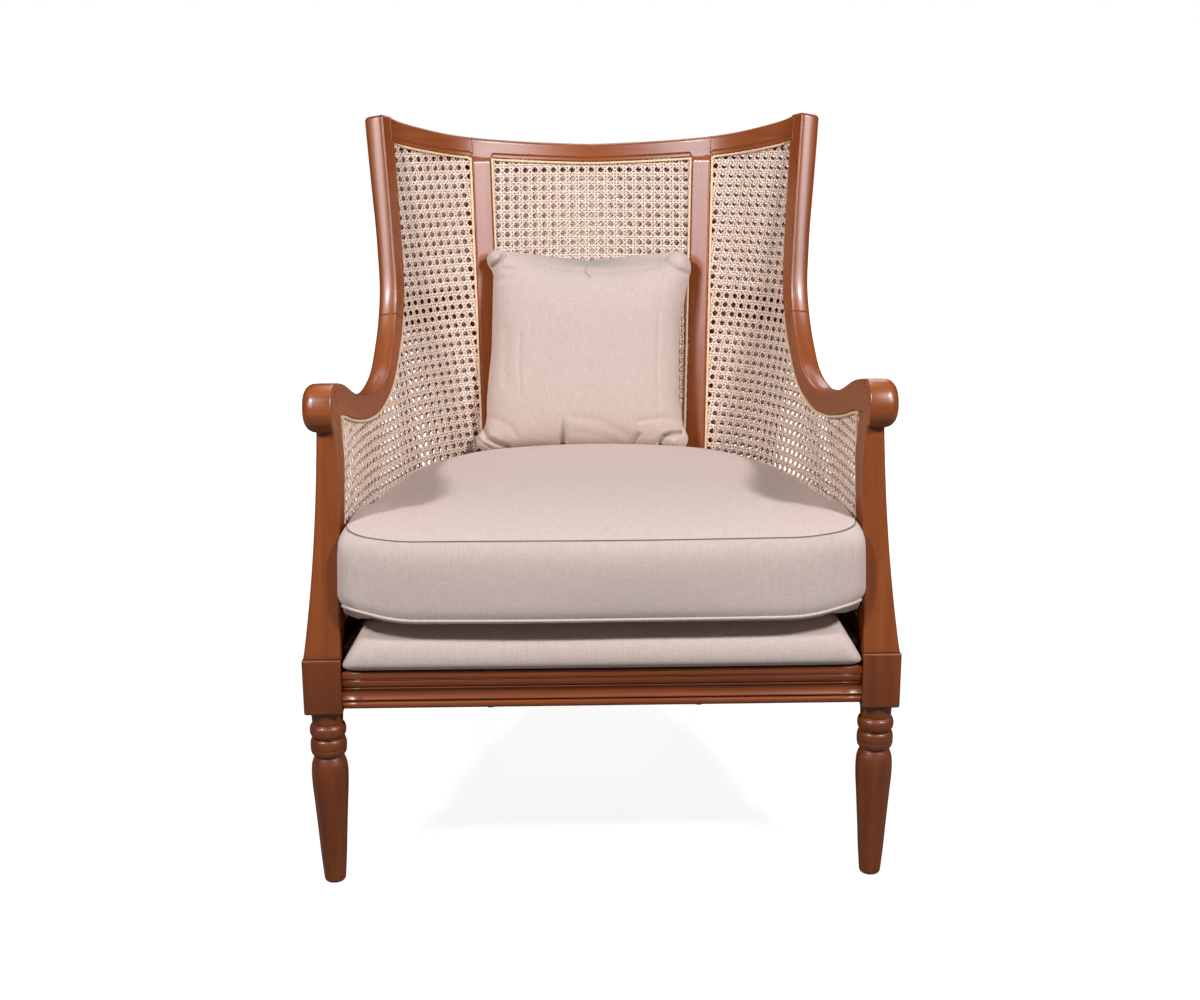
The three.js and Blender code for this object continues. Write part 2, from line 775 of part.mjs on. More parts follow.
// The spline lies on the cane along the whole edge of a bay.
function splineHoop(bay, near) {
  const outline = (inset) => {
    const edges = bay(-inset, near + splineThickness / 2);
    const [bottom, top] = edges;
    const farColumn = columnOf(edges, bottom.length - 1);
    const nearColumn = columnOf(edges, 0).reverse();
    const over = top.slice(1, -1).reverse();
    return [...bottom.slice(0, -1), ...farColumn, ...over, ...nearColumn.slice(0, -1)];
  };
  const [edge, inside] = [outline(splineClear), outline(splineClear + splineWidth)];
  const far = near + splineThickness;
  return hoop(edge.map(([way, height], i) => {
    const [insideWay, insideHeight] = inside[i];
    return [
      wallPoint(way, height, near), wallPoint(way, height, far),
      wallPoint(insideWay, insideHeight, far), wallPoint(insideWay, insideHeight, near),
    ];
  }));
}

// Plan outlines of the soft parts, inside the wall at a height.
function planOutline(height, setIn, frontY, cornerRadius, frontSwell) {
  const sideWay = wayAtDepth(frontY + cornerRadius, height);
  const start = frontY + cornerRadius >= 0 ? Math.min(sideWay, 1) : 1;
  const right = [];
  for (let i = 0; i <= outlineWaySteps; i++) {
    right.push(wallPoint(start * (i / outlineWaySteps), height, -setIn));
  }
  const side = right.at(-1);
  for (let i = 1; i <= outlineCornerSteps; i++) {
    const angle = ((Math.PI / 2) * i) / outlineCornerSteps;
    const x = side.x - cornerRadius * (1 - Math.cos(angle));
    const y = frontY + (side.y - frontY) * (1 - Math.sin(angle));
    right.push(new THREE.Vector3(x, y, height));
  }
  const cornerX = right.at(-1).x;
  for (let i = 1; i <= outlineFrontSteps; i++) {
    const share = i / outlineFrontSteps;
    const swell = frontSwell * Math.sin((Math.PI / 2) * share);
    right.push(new THREE.Vector3(cornerX * (1 - share), frontY - swell, height));
  }
  const left = right.slice(1, -1).reverse().map((point) => new THREE.Vector3(-point.x, point.y, height));
  return [...right, ...left];
}

const shrunk = (outline, share, centreY, height) => outline.map((point) => new THREE.Vector3(
  point.x * share,
  centreY + (point.y - centreY) * share,
  height,
));

function seatCushion() {
  const edgeAt = (height, setIn, swell) => planOutline(
    height, cushionSetIn + setIn, cushionFrontY, cushionCornerRadius, swell,
  );
  const middle = (cushionSeamTop + cushionSeamBottom) / 2;
  const bottom = deckTop + gap;
  const top = edgeAt(cushionSeamTop, 0, cushionFrontBulge);
  const rings = [
    edgeAt(bottom, cushionFootSetIn, 0),
    edgeAt(cushionSeamBottom, cushionBulge, cushionBulge),
    edgeAt(middle, 0, cushionFrontBulge),
    top,
  ];
  for (const [share, riseShare] of cushionCrownShares) {
    rings.push(shrunk(top, share, cushionCentreY, cushionSeamTop + cushionCrown * riseShare));
  }
  return loft(rings);
}

function seatDeck() {
  const edgeAt = (height, setIn, swell) => planOutline(
    height, deckSetIn + setIn, deckFrontY, deckCornerRadius, swell,
  );
  const rings = [
    edgeAt(deckBottom, deckRounding / 2, 0),
    edgeAt(deckBottom + deckRounding / 2, 0, deckFrontSwell),
    edgeAt(deckTop - deckRounding, 0, deckFrontSwell),
    edgeAt(deckTop - deckRounding * deckShoulderDownShare, deckRounding * deckShoulderInShare, 0),
    edgeAt(deckTop, deckRounding, 0),
  ];
  return loft(rings);
}

// The cloth edge of the deck lies on the seat rails, under the lower panel rails.
function deckFlange() {
  const rear = wayAtDepth(blockWidth + deckCornerRadius, footLevel);
  const high = panelRailBottom - gap;
  return band(-rear, rear, plainSection(deckBottom, high, -overrun * 2, deckFlangeOut));
}

// Scatter cushion: two crowned faces that meet at a thin seam, with drawn out corners.
function scatterCushion() {
  const half = new THREE.Vector2(scatterWidth / 2, scatterHeight / 2);
  const place = (u, v, side) => {
    const edgeU = Math.max(1 - u ** scatterCrownPower, 0);
    const edgeV = Math.max(1 - v ** scatterCrownPower, 0);
    const ear = scatterEar * (u * v) ** scatterEarPower;
    const x = u * half.x - Math.sign(u) * scatterBow * Math.abs(u) * (1 - v * v) + Math.sign(u) * ear;
    const z = v * half.y - Math.sign(v) * scatterBow * Math.abs(v) * (1 - u * u) + Math.sign(v) * ear;
    const crown = (scatterThickness - scatterSeam) * Math.sqrt(edgeU * edgeV);
    return new THREE.Vector3(x, side * (crown + scatterSeam) / 2, z);
  };
  const shares = [];
  for (let i = 0; i <= scatterSteps; i++) shares.push(Math.sin(Math.PI * (i / scatterSteps - 1 / 2)));
  return loft(shares.map((v) => [
    ...shares.map((u) => place(u, v, -1)),
    ...shares.toReversed().map((u) => place(u, v, 1)),
  ]));
}

// Straps lie on the rails: the long ones first, the cross ones over them.
function longStrap(index) {
  const x = (index - (longStrapCount - 1) / 2) * longStrapPitch;
  const rear = onWall(wayAtWidth(Math.abs(x) + strapWidth / 2, railTop), railTop).y + strapLanding;
  const low = new THREE.Vector3(x - strapWidth / 2, railSetBack + strapLanding / 2, longStrapBottom);
  return boxBetween(low, new THREE.Vector3(x + strapWidth / 2, rear, longStrapBottom + strapThickness));
}
function crossStrap(index) {
  const y = crossStrapMiddleY + (index - (crossStrapCount - 1) / 2) * crossStrapPitch;
  const railX = onWall(wayAtDepth(y + strapWidth / 2, railTop), railTop).x;
  const raisedX = ((longStrapCount - 1) * longStrapPitch + strapWidth) / 2;
  const bends = [
    [-railX - strapLanding, longStrapBottom], [-railX, longStrapBottom], [-raisedX, crossStrapBottom],
    [raisedX, crossStrapBottom], [railX, longStrapBottom], [railX + strapLanding, longStrapBottom],
  ];
  const corners = [[-1, 0], [1, 0], [1, 1], [-1, 1]];
  return loft(bends.map(([x, z]) => corners.map(
    ([side, layer]) => new THREE.Vector3(x, y + (side * strapWidth) / 2, z + layer * strapThickness),
  )));
}

// Build the right side, then the middle, and mirror what comes in pairs.
const cut = (body, ...tools) => tools.flat().reduce((rest, tool) => rest.subtract(tool), body);

const seatRailSection = plainSection(railBottom, railTop, railInner, railOuter, railEdge);
const seatRail = (from, to) => band(from, to, seatRailSection);
const frontRailLength = 2 * (blockInner - gap);
function frontRail() {
  const outline = railProfile(-railThickness, 0).map(([out, height]) => new THREE.Vector2(out, height));
  const shape = new THREE.Shape(outline);
  const bar = new THREE.ExtrudeGeometry(shape, { depth: frontRailLength, bevelEnabled: false });
  const turn = new THREE.Matrix4().makeBasis(
    new THREE.Vector3(0, -1, 0), new THREE.Vector3(0, 0, 1), new THREE.Vector3(-1, 0, 0),
  );
  bar.applyMatrix4(turn);
  bar.translate(frontRailLength / 2, railSetBack, 0);
  return [-1, 1].reduce((rail, side) => rail.add(frontTenon(side, 0)), solid(bar));
}
function frontTenon(side, grow) {
  const y = railSetBack + railThickness / 2;
  const z = railBottom + railHeight / 2;
  const start = blockInner - overrun;
  const end = blockInner + railTenonLength + grow;
  const half = new THREE.Vector3(end - start, railTenonThickness, railTenonHeight).divideScalar(2);
  half.add(new THREE.Vector3(0, grow, grow));
  const middle = new THREE.Vector3((side * (start + end)) / 2, y, z);
  return boxBetween(middle.clone().sub(half), middle.clone().add(half));
}

// Side seat rail: from the back post to the leg block, with a tenon at each end.
const railMiddle = railBottom + railHeight / 2;
const sideRailFront = wayAtDepth(blockWidth - overrun, railMiddle);
function railTenon(from, to, grow, shift = 0) {
  const centre = (railInner + railOuter) / 2 + shift;
  const half = railTenonThickness / 2;
  const section = plainSection(
    railMiddle - railTenonHeight / 2, railMiddle + railTenonHeight / 2,
    centre - half, centre + half, 0, grow,
  );
  return band(from, to, section, grow);
}
const sideFrontTenon = (grow) => railTenon(
  sideRailFront - overrun / footDepth,
  wayAtDepth(blockWidth - railTenonLength, railMiddle), grow, sideRailTenonShift,
);
const postFaceWay = (side) => wayPast(stileWayShare, railMiddle, (side * postFootWidth) / 2);
const postRailTenon = (side, grow) => {
  const face = postFaceWay(side);
  const inside = wayPast(face, railMiddle, -side * postRailTenonLength);
  const outside = wayPast(face, railMiddle, side * overrun);
  return railTenon(Math.min(inside, outside), Math.max(inside, outside), grow);
};
const panelTenon = (side, grow) => {
  const level = panelRailBottom + panelRailHeight / 2;
  const face = wayPast(stileWayShare, level, (side * postFootWidth) / 2);
  const inside = wayPast(face, level, -side * stubTenonLength);
  const outside = wayPast(face, level, side * overrun);
  return band(Math.min(inside, outside), Math.max(inside, outside), stubSection(level, grow), grow);
};
const stubSection = (level, grow) => plainSection(
  level - stubTenonHeight / 2, level + stubTenonHeight / 2,
  (wallThickness - stubTenonThickness) / 2, (wallThickness + stubTenonThickness) / 2, 0, grow,
);
const panelFrontTenon = (grow) => {
  const level = panelRailBottom + panelRailHeight / 2;
  const face = armPostRear(level);
  const from = wayAtDepth(face + overrun, level);
  const to = wayAtDepth(face - stubTenonLength, level);
  return band(from, to, stubSection(level, grow), grow);
};

// Crest pieces
const crestJointWay = (height) => stileEdgeWay(height, 1);
const crestSection = (grow = 0) => plainSection(crestUnder, crestOver, 0, wallThickness, crestEdge, grow);
const crestJoint = crestJointWay(crestUnder(stileWayShare));
const postTopSection = plainSection(crestUnder, crestOver, -overrun, wallThickness + overrun, 0, gap);
const crestTenonSection = (grow) => {
  const level = (way) => (crestUnder(way) + crestOver(way)) / 2 + crestTenonRise;
  return plainSection(
    (way) => level(way) - crestTenonHeight / 2, (way) => level(way) + crestTenonHeight / 2,
    (wallThickness - crestTenonThickness) / 2, (wallThickness + crestTenonThickness) / 2, 0, grow,
  );
};
const crestTongue = (grow) => {
  const height = crestUnder(crestJoint);
  const from = wayPast(crestJoint, height, -crestTenonLength);
  return band(from, wayPast(crestJoint, height, overrun), crestTenonSection(grow), grow);
};
const wingTenon = (grow) => {
  const height = crestUnder(armWayShares[0]);
  const [face] = armEdge(stationAtHeight(height), 0, wallThickness / 2);
  const to = wayPast(face, height, crestTenonLength);
  return band(wayPast(face, height, -overrun), to, crestTenonSection(grow), grow);
};
function stileTenon(grow) {
  const top = crestUnder(stileWayShare) + postTopTenonLength;
  const low = crestUnder(stileWayShare) - overrun * 2;
  const way = stileWayShare;
  const half = postTenonWidth / 2 + grow;
  const deep = postTenonThickness / 2 + grow;
  const corners = [[-half, -deep], [half, -deep], [half, deep], [-half, deep]];
  return loft([low, top + grow].map((height) => corners.map(
    ([along, out]) => wallPoint(way, height, wallThickness / 2 + out)
      .addScaledVector(wallStep(way, height).tangent, along),
  )));
}

// Wing brace, housed in the stile and in the wing
function wingBrace(grow) {
  const from = stileEdgeWay(braceMiddle, 1, braceHousing);
  const [to] = armEdge(stationAtHeight(braceMiddle), braceHousing, wallThickness / 2);
  const inner = innerLayer[1] + braceClear;
  const section = plainSection(
    braceMiddle - braceHeight / 2, braceMiddle + braceHeight / 2, inner, wallThickness - inner, 0, grow,
  );
  return band(from, to, section, grow);
}

const innerSplineOut = caneSetBack - splineLift - splineThickness;
const outerSplineOut = wallThickness - caneSetBack + splineLift;
const grooves = { middle: caneGroove(middleBay), side: caneGroove(sideBay) };
const grownArm = armWhole(gap);
const grownWing = armBar(0, jointStation, gap, barWidth);
const grownPost = backPost(gap);
const grownPosts = [grownPost, mirrored(grownPost)];
const grownBlock = legBlock(gap);

const rightPieces = {
  front_leg: {
    body: cut(frontLeg(), frontTenon(1, gap), sideFrontTenon(gap), armPostFootTenon(gap)),
    material: legWood,
  },
  arm_post: {
    body: cut(
      cut(armPost(footLevel + gap, rollHeight), grownArm).add(armPostFootTenon(0)).add(armPostHeadTenon(0)),
      panelFrontTenon(gap), grooves.side,
    ),
    material: wood,
  },
  back_post: {
    body: cut(
      cut(backPost(0), band(-crestJoint, crestJoint, postTopSection, overrun)).add(stileTenon(0)),
      postRailTenon(1, gap), postRailTenon(-1, gap), panelTenon(1, gap), panelTenon(-1, gap),
      grooves.middle, grooves.side, wingBrace(gap),
    ),
    material: wood,
  },
  side_rail: {
    body: cut(seatRail(stileWayShare, sideRailFront), grownPost, grownBlock)
      .add(sideFrontTenon(0)).add(postRailTenon(1, 0)),
    material: wood,
  },
  panel_rail_side: {
    body: cut(
      cut(
        band(stileWayShare, wayAtDepth(armPostRear(footLevel) - overrun, footLevel),
          plainSection(panelRailBottom, panelRailTop, 0, wallThickness)),
        grownPost, armPost(footLevel, rollHeight, gap),
      ).add(panelTenon(1, 0)).add(panelFrontTenon(0)),
      grooves.side,
    ),
    material: wood,
  },
  crest_rail: {
    body: cut(
      cut(
        band(wayPast(crestJoint, crestUnder(crestJoint), gap), armWayShares[0], crestSection()),
        grownWing,
      ).add(crestTongue(0)).add(wingTenon(0)),
      grooves.side,
    ),
    material: wood,
  },
  wing_post: {
    body: cut(
      armBar(0, jointStation - gap / (wingTop - armDip) / 2).add(barTenon(jointStation, barTenonLength, 0)),
      wingTenon(gap), grooves.side, wingBrace(gap),
    ),
    material: wood,
  },
  arm: {
    body: cut(
      armWhole(0),
      barTenon(jointStation, barTenonLength, gap), armPostHeadTenon(gap), grooves.side, wingBrace(gap),
    ),
    material: wood,
  },
  wing_brace: { body: wingBrace(0), material: hiddenWood },
  cane_inner: { body: caneSheet(sideBay, innerLayer), material: cane },
  cane_outer: { body: caneSheet(sideBay, outerLayer), material: cane },
  cane_spline_inner: { body: splineHoop(sideBay, innerSplineOut), material: spline },
  cane_spline_outer: { body: splineHoop(sideBay, outerSplineOut), material: spline },
};

const backRailSpan = seatRail(-stileWayShare, stileWayShare);
const panelBackSpan = band(
  -stileWayShare, stileWayShare, plainSection(panelRailBottom, panelRailTop, 0, wallThickness),
);
const both = (body) => [body, mirrored(body)];
const joinBoth = (body, part) => both(part).reduce((rest, tool) => rest.add(tool), body);

const middlePieces = {
  front_rail: { body: frontRail(), material: wood },
  back_rail: { body: joinBoth(cut(backRailSpan, grownPosts), postRailTenon(-1, 0)), material: wood },
  panel_rail_back: {
    body: cut(joinBoth(cut(panelBackSpan, grownPosts), panelTenon(-1, 0)), grooves.middle),
    material: wood,
  },
  crest_rail_middle: {
    body: cut(
      band(-crestJoint, crestJoint, crestSection()),
      both(crestTongue(gap)), both(stileTenon(gap)), grooves.middle,
      grooves.side.flatMap(both),
    ),
    material: wood,
  },
  cane_inner_middle: { body: caneSheet(middleBay, innerLayer), material: cane },
  cane_outer_middle: { body: caneSheet(middleBay, outerLayer), material: cane },
  cane_spline_inner_middle: { body: splineHoop(middleBay, innerSplineOut), material: spline },
  cane_spline_outer_middle: { body: splineHoop(middleBay, outerSplineOut), material: spline },
};

// Soft parts
const deckNeighbours = [...both(grownBlock), ...both(armPost(footLevel, rollHeight, gap)), ...grownPosts];
middlePieces.seat_deck = { body: cut(seatDeck().add(deckFlange()), deckNeighbours), material: linen };
middlePieces.seat_cushion = { body: seatCushion(), material: linen };

// Dust cover under the rails
function dustCover() {
  const top = railBottom - gap;
  const outline = planOutline(railBottom, -dustOut, railSetBack + railThickness / 2, deckCornerRadius, 0);
  const levels = [top - dustThickness, top];
  return loft(levels.map((height) => outline.map((point) => new THREE.Vector3(point.x, point.y, height))));
}
middlePieces.dust_cover = { body: cut(dustCover(), both(grownBlock), grownPosts), material: cambric };

// Corner blocks: a triangle in each corner of the seat frame, cut to fit what it meets.
const cornerBottom = railBottom + cornerRise;
function cornerPrism(points) {
  const shape = new THREE.Shape(points.map(([x, y]) => new THREE.Vector2(x, y)));
  const prism = new THREE.ExtrudeGeometry(shape, { depth: cornerHeight, bevelEnabled: false });
  return placed(prism, new THREE.Vector3(0, 0, cornerBottom));
}
const railBack = railSetBack + railThickness + gap;
const grownRailSection = plainSection(railBottom, railTop, railInner - gap, railOuter);
const grownRail = (from, to) => band(from, to, grownRailSection);
const grownSideRail = grownRail(stileWayShare, sideRailFront);
const frontCornerX = [blockInner - cornerReach, blockInner + overrun * 2];
const frontCornerY = [railBack, blockWidth + cornerReach];
const frontCorner = cut(
  cornerPrism([
    [frontCornerX[0], frontCornerY[0]],
    [frontCornerX[1], frontCornerY[0]],
    [frontCornerX[1], frontCornerY[1]],
  ]),
  grownBlock, grownSideRail,
);
// The rear one is a cleat behind the post and both rails.
const rearBlock = cut(
  band(
    wayPast(stileWayShare, railMiddle, -cornerReach), wayPast(stileWayShare, railMiddle, cornerReach),
    plainSection(cornerBottom, cornerBottom + cornerHeight, -cleatThickness, railInner),
  ),
  grownPost, grownSideRail, grownRail(-stileWayShare, stileWayShare),
);

// The largest body of a cut, so that no crumb stays beside it
const larger = (one, other) => (other.volume() > one.volume() ? other : one);
const largest = (body) => body.decompose().reduce(larger);

// A screw through the long face of a corner block, driven level towards a target.
function screwAt([start, target, length], grow) {
  const away = new THREE.Vector3().subVectors(target, start).normalize();
  const [shank, head] = [screwRadius + grow, screwHeadRadius + grow];
  const profile = [
    [0, -screwHeadHeight - grow], [head, -screwHeadHeight - grow], [head, grow], [shank, grow],
    [shank, length + grow], [0, length + grow],
  ].map(([radius, along]) => new THREE.Vector2(radius, along));
  const turn = new THREE.Euler().setFromQuaternion(
    new THREE.Quaternion().setFromUnitVectors(new THREE.Vector3(0, 1, 0), away),
  );
  return placed(new THREE.LatheGeometry(profile, screwSides), start, turn);
}
const screwLevel = cornerBottom + cornerHeight / 2;
const level = (point) => new THREE.Vector3(point.x, point.y, screwLevel);
const frontScrewTarget = level(new THREE.Vector3(blockCentreX, blockCentreY, 0));
const frontFaceMiddle = level(new THREE.Vector3(
  (frontCornerX[0] + frontCornerX[1]) / 2,
  (frontCornerY[0] + frontCornerY[1]) / 2,
  0,
));
const frontScrewStart = frontFaceMiddle.clone().lerp(
  frontScrewTarget,
  screwHeadHeight / frontFaceMiddle.distanceTo(frontScrewTarget),
);
const rearScrewTarget = level(wallPoint(stileWayShare, railMiddle, postFootThickness / 2));
const rearScrewStart = level(wallPoint(stileWayShare, railMiddle, screwHeadHeight - cleatThickness));
const screwPaths = {
  front: [frontScrewStart, frontScrewTarget, frontScrewLength],
  rear: [rearScrewStart, rearScrewTarget, rearScrewLength],
};
rightPieces.corner_block_front = {
  body: largest(cut(frontCorner, screwAt(screwPaths.front, gap))), material: hiddenWood,
};
rightPieces.corner_block_rear = {
  body: largest(cut(rearBlock, screwAt(screwPaths.rear, gap))), material: hiddenWood,
};
rightPieces.corner_screw_front = { body: screwAt(screwPaths.front, 0), material: steel };
rightPieces.corner_screw_rear = { body: screwAt(screwPaths.rear, 0), material: steel };
rightPieces.front_leg.body = cut(rightPieces.front_leg.body, screwAt(screwPaths.front, gap));
rightPieces.back_post.body = cut(rightPieces.back_post.body, screwAt(screwPaths.rear, gap));

for (let i = 0; i < longStrapCount; i++) {
  middlePieces[`long_strap_${i + 1}`] = { body: longStrap(i), material: jute };
}
for (let i = 0; i < crossStrapCount; i++) {
  middlePieces[`cross_strap_${i + 1}`] = { body: crossStrap(i), material: jute };
}

// The scene: the frame in groups for each side, and the loose cushions
const chair = new THREE.Group();
const addMesh = (group, name, { body, material }) => {
  const mesh = new THREE.Mesh(geometryOf(body), material());
  mesh.name = name;
  group.add(mesh);
  return mesh;
};
for (const [side, turn] of [['right', 1], ['left', -1]]) {
  const group = new THREE.Group();
  group.scale.x = turn;
  for (const [name, piece] of Object.entries(rightPieces)) addMesh(group, `${name}_${side}`, piece);
  chair.add(group);
}
for (const [name, piece] of Object.entries(middlePieces)) addMesh(chair, name, piece);

const scatter = addMesh(chair, 'scatter_cushion', { body: scatterCushion(), material: linen });
scatter.rotation.x = -THREE.MathUtils.degToRad(scatterLean);
const scatterZ = cushionSeamTop + cushionCrown + scatterHeight / 2 - scatterSink;
// It rests against the wall with its sides, or with its crown where the back is flatter than the cushion.
const scatterSideY = onWall(wayAtWidth(scatterWidth / 2, scatterZ), scatterZ).y - scatterStandOff;
const scatterCrownY = onWall(0, scatterZ).y - scatterThickness / 2 - scatterCrownClear;
scatter.position.set(scatterX, Math.min(scatterSideY, scatterCrownY), scatterZ);

// The origin is at the middle of the chair's footprint.
const extent = new THREE.Box3().setFromObject(chair);
chair.position.y = -(extent.min.y + extent.max.y) / 2;

export default chair;
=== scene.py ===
# %% [markdown]
# # A tub armchair in cane and wood
# The chair is a shell of wood and cane that curves round a boxed seat cushion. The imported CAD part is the
# fixed frame of this scene: it gives the places and the joints, and the pieces below give the looks.
# All shapes are worked out in millimetres in the chair's own plan, and turned into metres when they are made.

# %% The frame, the units and the helpers' names
import math

import bpy
import numpy as np
from mathutils import Matrix, Vector


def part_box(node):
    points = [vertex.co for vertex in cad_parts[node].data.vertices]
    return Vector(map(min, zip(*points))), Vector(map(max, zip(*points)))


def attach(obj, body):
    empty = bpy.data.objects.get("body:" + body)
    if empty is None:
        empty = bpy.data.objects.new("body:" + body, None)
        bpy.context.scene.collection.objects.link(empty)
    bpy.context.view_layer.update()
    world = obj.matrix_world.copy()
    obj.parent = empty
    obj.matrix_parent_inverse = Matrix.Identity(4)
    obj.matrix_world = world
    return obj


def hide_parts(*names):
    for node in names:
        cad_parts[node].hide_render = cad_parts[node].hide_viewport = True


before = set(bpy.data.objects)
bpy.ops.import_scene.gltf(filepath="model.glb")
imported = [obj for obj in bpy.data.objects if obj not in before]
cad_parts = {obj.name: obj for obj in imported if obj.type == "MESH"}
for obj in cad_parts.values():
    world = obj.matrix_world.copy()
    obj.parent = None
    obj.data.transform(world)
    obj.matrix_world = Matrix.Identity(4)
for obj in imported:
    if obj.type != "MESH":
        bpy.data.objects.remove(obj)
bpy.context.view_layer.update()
row_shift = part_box("front_leg_right")[0].y * 1000
millimetre = 0.001

# %% [markdown]
# ## The curved wall
# The back and the sides are one curved surface, which a maker would saw and bend over a former. It is ruled
# between two plan curves, one at the head of the leg blocks and one at the head of the back. A place on it
# is a way (from -1 at the left arm post, through 0 in the middle of the back, to 1) and a height.

# %% Places on the wall
level_low, level_high = 306.0, 900.0
foot_half, head_half = 323.0, 308.0
foot_depth, head_depth = 525.0, 631.0
foot_x = (0, 0.464, 0.684, 0.793, 0.929, 0.994, 1)
foot_y = (1, 0.939, 0.838, 0.67, 0.41, 0.181, 0)
head_x = (0, 0.539, 0.805, 0.964, 1, 0.984, 0.974)
head_y = (1, 0.941, 0.84, 0.732, 0.523, 0.19, 0)
way_step = 0.003


def spread(*values):
    """The values as arrays of one shape."""
    return np.broadcast_arrays(*(np.asarray(v, float) for v in values))


def unit(vectors):
    """Each vector divided by its length."""
    return vectors / np.linalg.norm(vectors, axis=-1, keepdims=True)


def plan_points(x_shares, y_shares, half, depth):
    """The plan points of one wall curve from left to right, with one point carried on past each end."""
    right = np.column_stack([np.array(x_shares) * half, np.array(y_shares) * depth])
    points = np.vstack([right[:0:-1] * (-1, 1), right])
    return np.vstack([2 * points[0] - points[1], points, 2 * points[-1] - points[-2]])


def through(points, place):
    """The smooth curve through points: on each stretch a cubic whose slope at a point is half the step
    between that point's two neighbours."""
    i = np.clip(np.floor(place).astype(int), 0, len(points) - 4)
    t = (place - i)[..., None]
    a, b, c, d = (points[i + k] for k in range(4))
    return 0.5 * (2 * b + (c - a) * t + (2 * a - 5 * b + 4 * c - d) * t**2 + (3 * b - a - 3 * c + d) * t**3)


foot_plan = plan_points(foot_x, foot_y, foot_half, foot_depth)
head_plan = plan_points(head_x, head_y, head_half, head_depth)


def on_wall(way, z):
    """A point of the wall: the two plan curves at the same way, mixed by height."""
    way, z = spread(way, z)
    place = (way + 1) * 6
    rise = ((z - level_low) / (level_high - level_low))[..., None]
    plan = through(foot_plan, place) * (1 - rise) + through(head_plan, place) * rise
    return np.concatenate([plan, z[..., None]], -1)


def wall_step(way, z):
    """The level direction along the wall, and how many millimetres one way is."""
    way, z = spread(np.clip(way, -1, 1), z)
    back, on = np.maximum(way - way_step, -1), np.minimum(way + way_step, 1)
    step = on_wall(on, z) - on_wall(back, z)
    length = np.linalg.norm(step, axis=-1, keepdims=True)
    return step / length, length[..., 0] / (on - back)


def outward(way, z):
    """The level direction square to the wall, away from the seat."""
    tangent, _ = wall_step(way, z)
    return np.stack([-tangent[..., 1], tangent[..., 0], 0 * tangent[..., 0]], -1)


def wall_point(way, z, out):
    """The wall point moved outward by out millimetres."""
    return on_wall(way, z) + outward(way, z) * np.asarray(out, float)[..., None]


def way_past(way, z, distance):
    """The way that lies a distance further along the wall."""
    return way + distance / wall_step(way, z)[1]


def way_of(point, guess):
    """The way at which the wall passes nearest to each point, in eight steps along the wall."""
    way = np.asarray(guess, float)
    for _ in range(8):
        tangent, per_way = wall_step(way, point[..., 2])
        way = way + ((point - on_wall(way, point[..., 2])) * tangent).sum(-1) / per_way
    return way


def halved(low, high, below, shape=()):
    """The place between low and high where below turns from true to false, by halving forty times."""
    low, high = np.full(shape, float(low)), np.full(shape, float(high))
    for _ in range(40):
        middle = (low + high) / 2
        under = below(middle)
        low, high = np.where(under, middle, low), np.where(under, high, middle)
    return (low + high) / 2


def way_at_depth(y, z):
    """The way on the right side of the wall that has a given depth."""
    y, z = spread(y, z)
    return halved(0, 1, lambda way: on_wall(way, z)[..., 1] > y, y.shape)


def way_at_width(x, z):
    """The way on the back of the wall that lies a given distance from the middle."""
    x, z = spread(x, z)
    return halved(0, 0.5, lambda way: on_wall(way, z)[..., 0] < x, x.shape)


def eased(value, low, high):
    """A smooth rise from 0 at low to 1 at high."""
    t = np.clip((np.asarray(value, float) - low) / (high - low), 0, 1)
    return t * t * (3 - 2 * t)


print("wall at the middle of the head", np.round(on_wall(0, 900), 1))

# %% [markdown]
# ## The line of the arm and the wing
# One bent bar runs from the crest corner down the wing, sweeps forward and ends in the roll. Its line is a
# smooth curve drawn on the wall, and its section stays square to that line, as a bar cut from a bent plank
# does.

# %% The arm line
wing_top, arm_dip, roll_height, bar_half = 952.0, 574.0, 619.0, 13.5
wall_thick, roll_out, roll_width, roll_radius, roll_centre_y = 30.0, 5.0, 37.0, 29.2, 17.0
arm_ways = (0.468, 0.468, 0.47, 0.475, 0.494, 0.523, 0.565, 0.625, 0.685, 0.737, 0.79, 0.867, 0.97)
wing_shares = np.array([1, 0.73, 0.5185, 0.373, 0.259, 0.156, 0.053, 0])
roll_shares = np.array([0.01, 0.19, 0.44, 0.8, 1])
arm_heights = np.concatenate([
    arm_dip + wing_shares * (wing_top - arm_dip), arm_dip + roll_shares * (roll_height - arm_dip),
])
arm_plan = np.column_stack([arm_ways, arm_heights])
arm_plan = np.vstack([arm_plan[0], arm_plan, arm_plan[-1]])
last_station = 7 / 12


def arm_at(station):
    """Way and height of the arm line at a station from 0 (crest corner) to 1 (roll)."""
    return np.moveaxis(through(arm_plan, np.asarray(station, float) * 12), -1, 0)


def arm_frame(station):
    """Origin and directions of the bar: across it towards the cane, outward, and along it."""
    station = np.asarray(station, float)
    way, z = arm_at(station)
    back, on = arm_at(np.maximum(station - way_step, 0)), arm_at(np.minimum(station + way_step, 1))
    along = unit(on_wall(*on) - on_wall(*back))
    out = outward(way, z)
    out = unit(out - along * (out * along).sum(-1, keepdims=True))
    across = np.cross(out, along)
    widen = eased(way, 0.78, 0.97)
    near, far = roll_out * widen, wall_thick + (roll_out + roll_width - wall_thick) * widen
    return on_wall(way, z), across, out, along, near, far, way


def arm_edge(station, into, out):
    """Way and height of the bar's edge on the cane side."""
    origin, across, outside, *_, way = arm_frame(station)
    edge = origin + across * (bar_half - into) + outside * out
    return way_of(edge, way), edge[..., 2]


def station_at_height(z):
    """The station at which the wing has a height."""
    return float(halved(0, last_station, lambda s: arm_at(s)[1] > z))


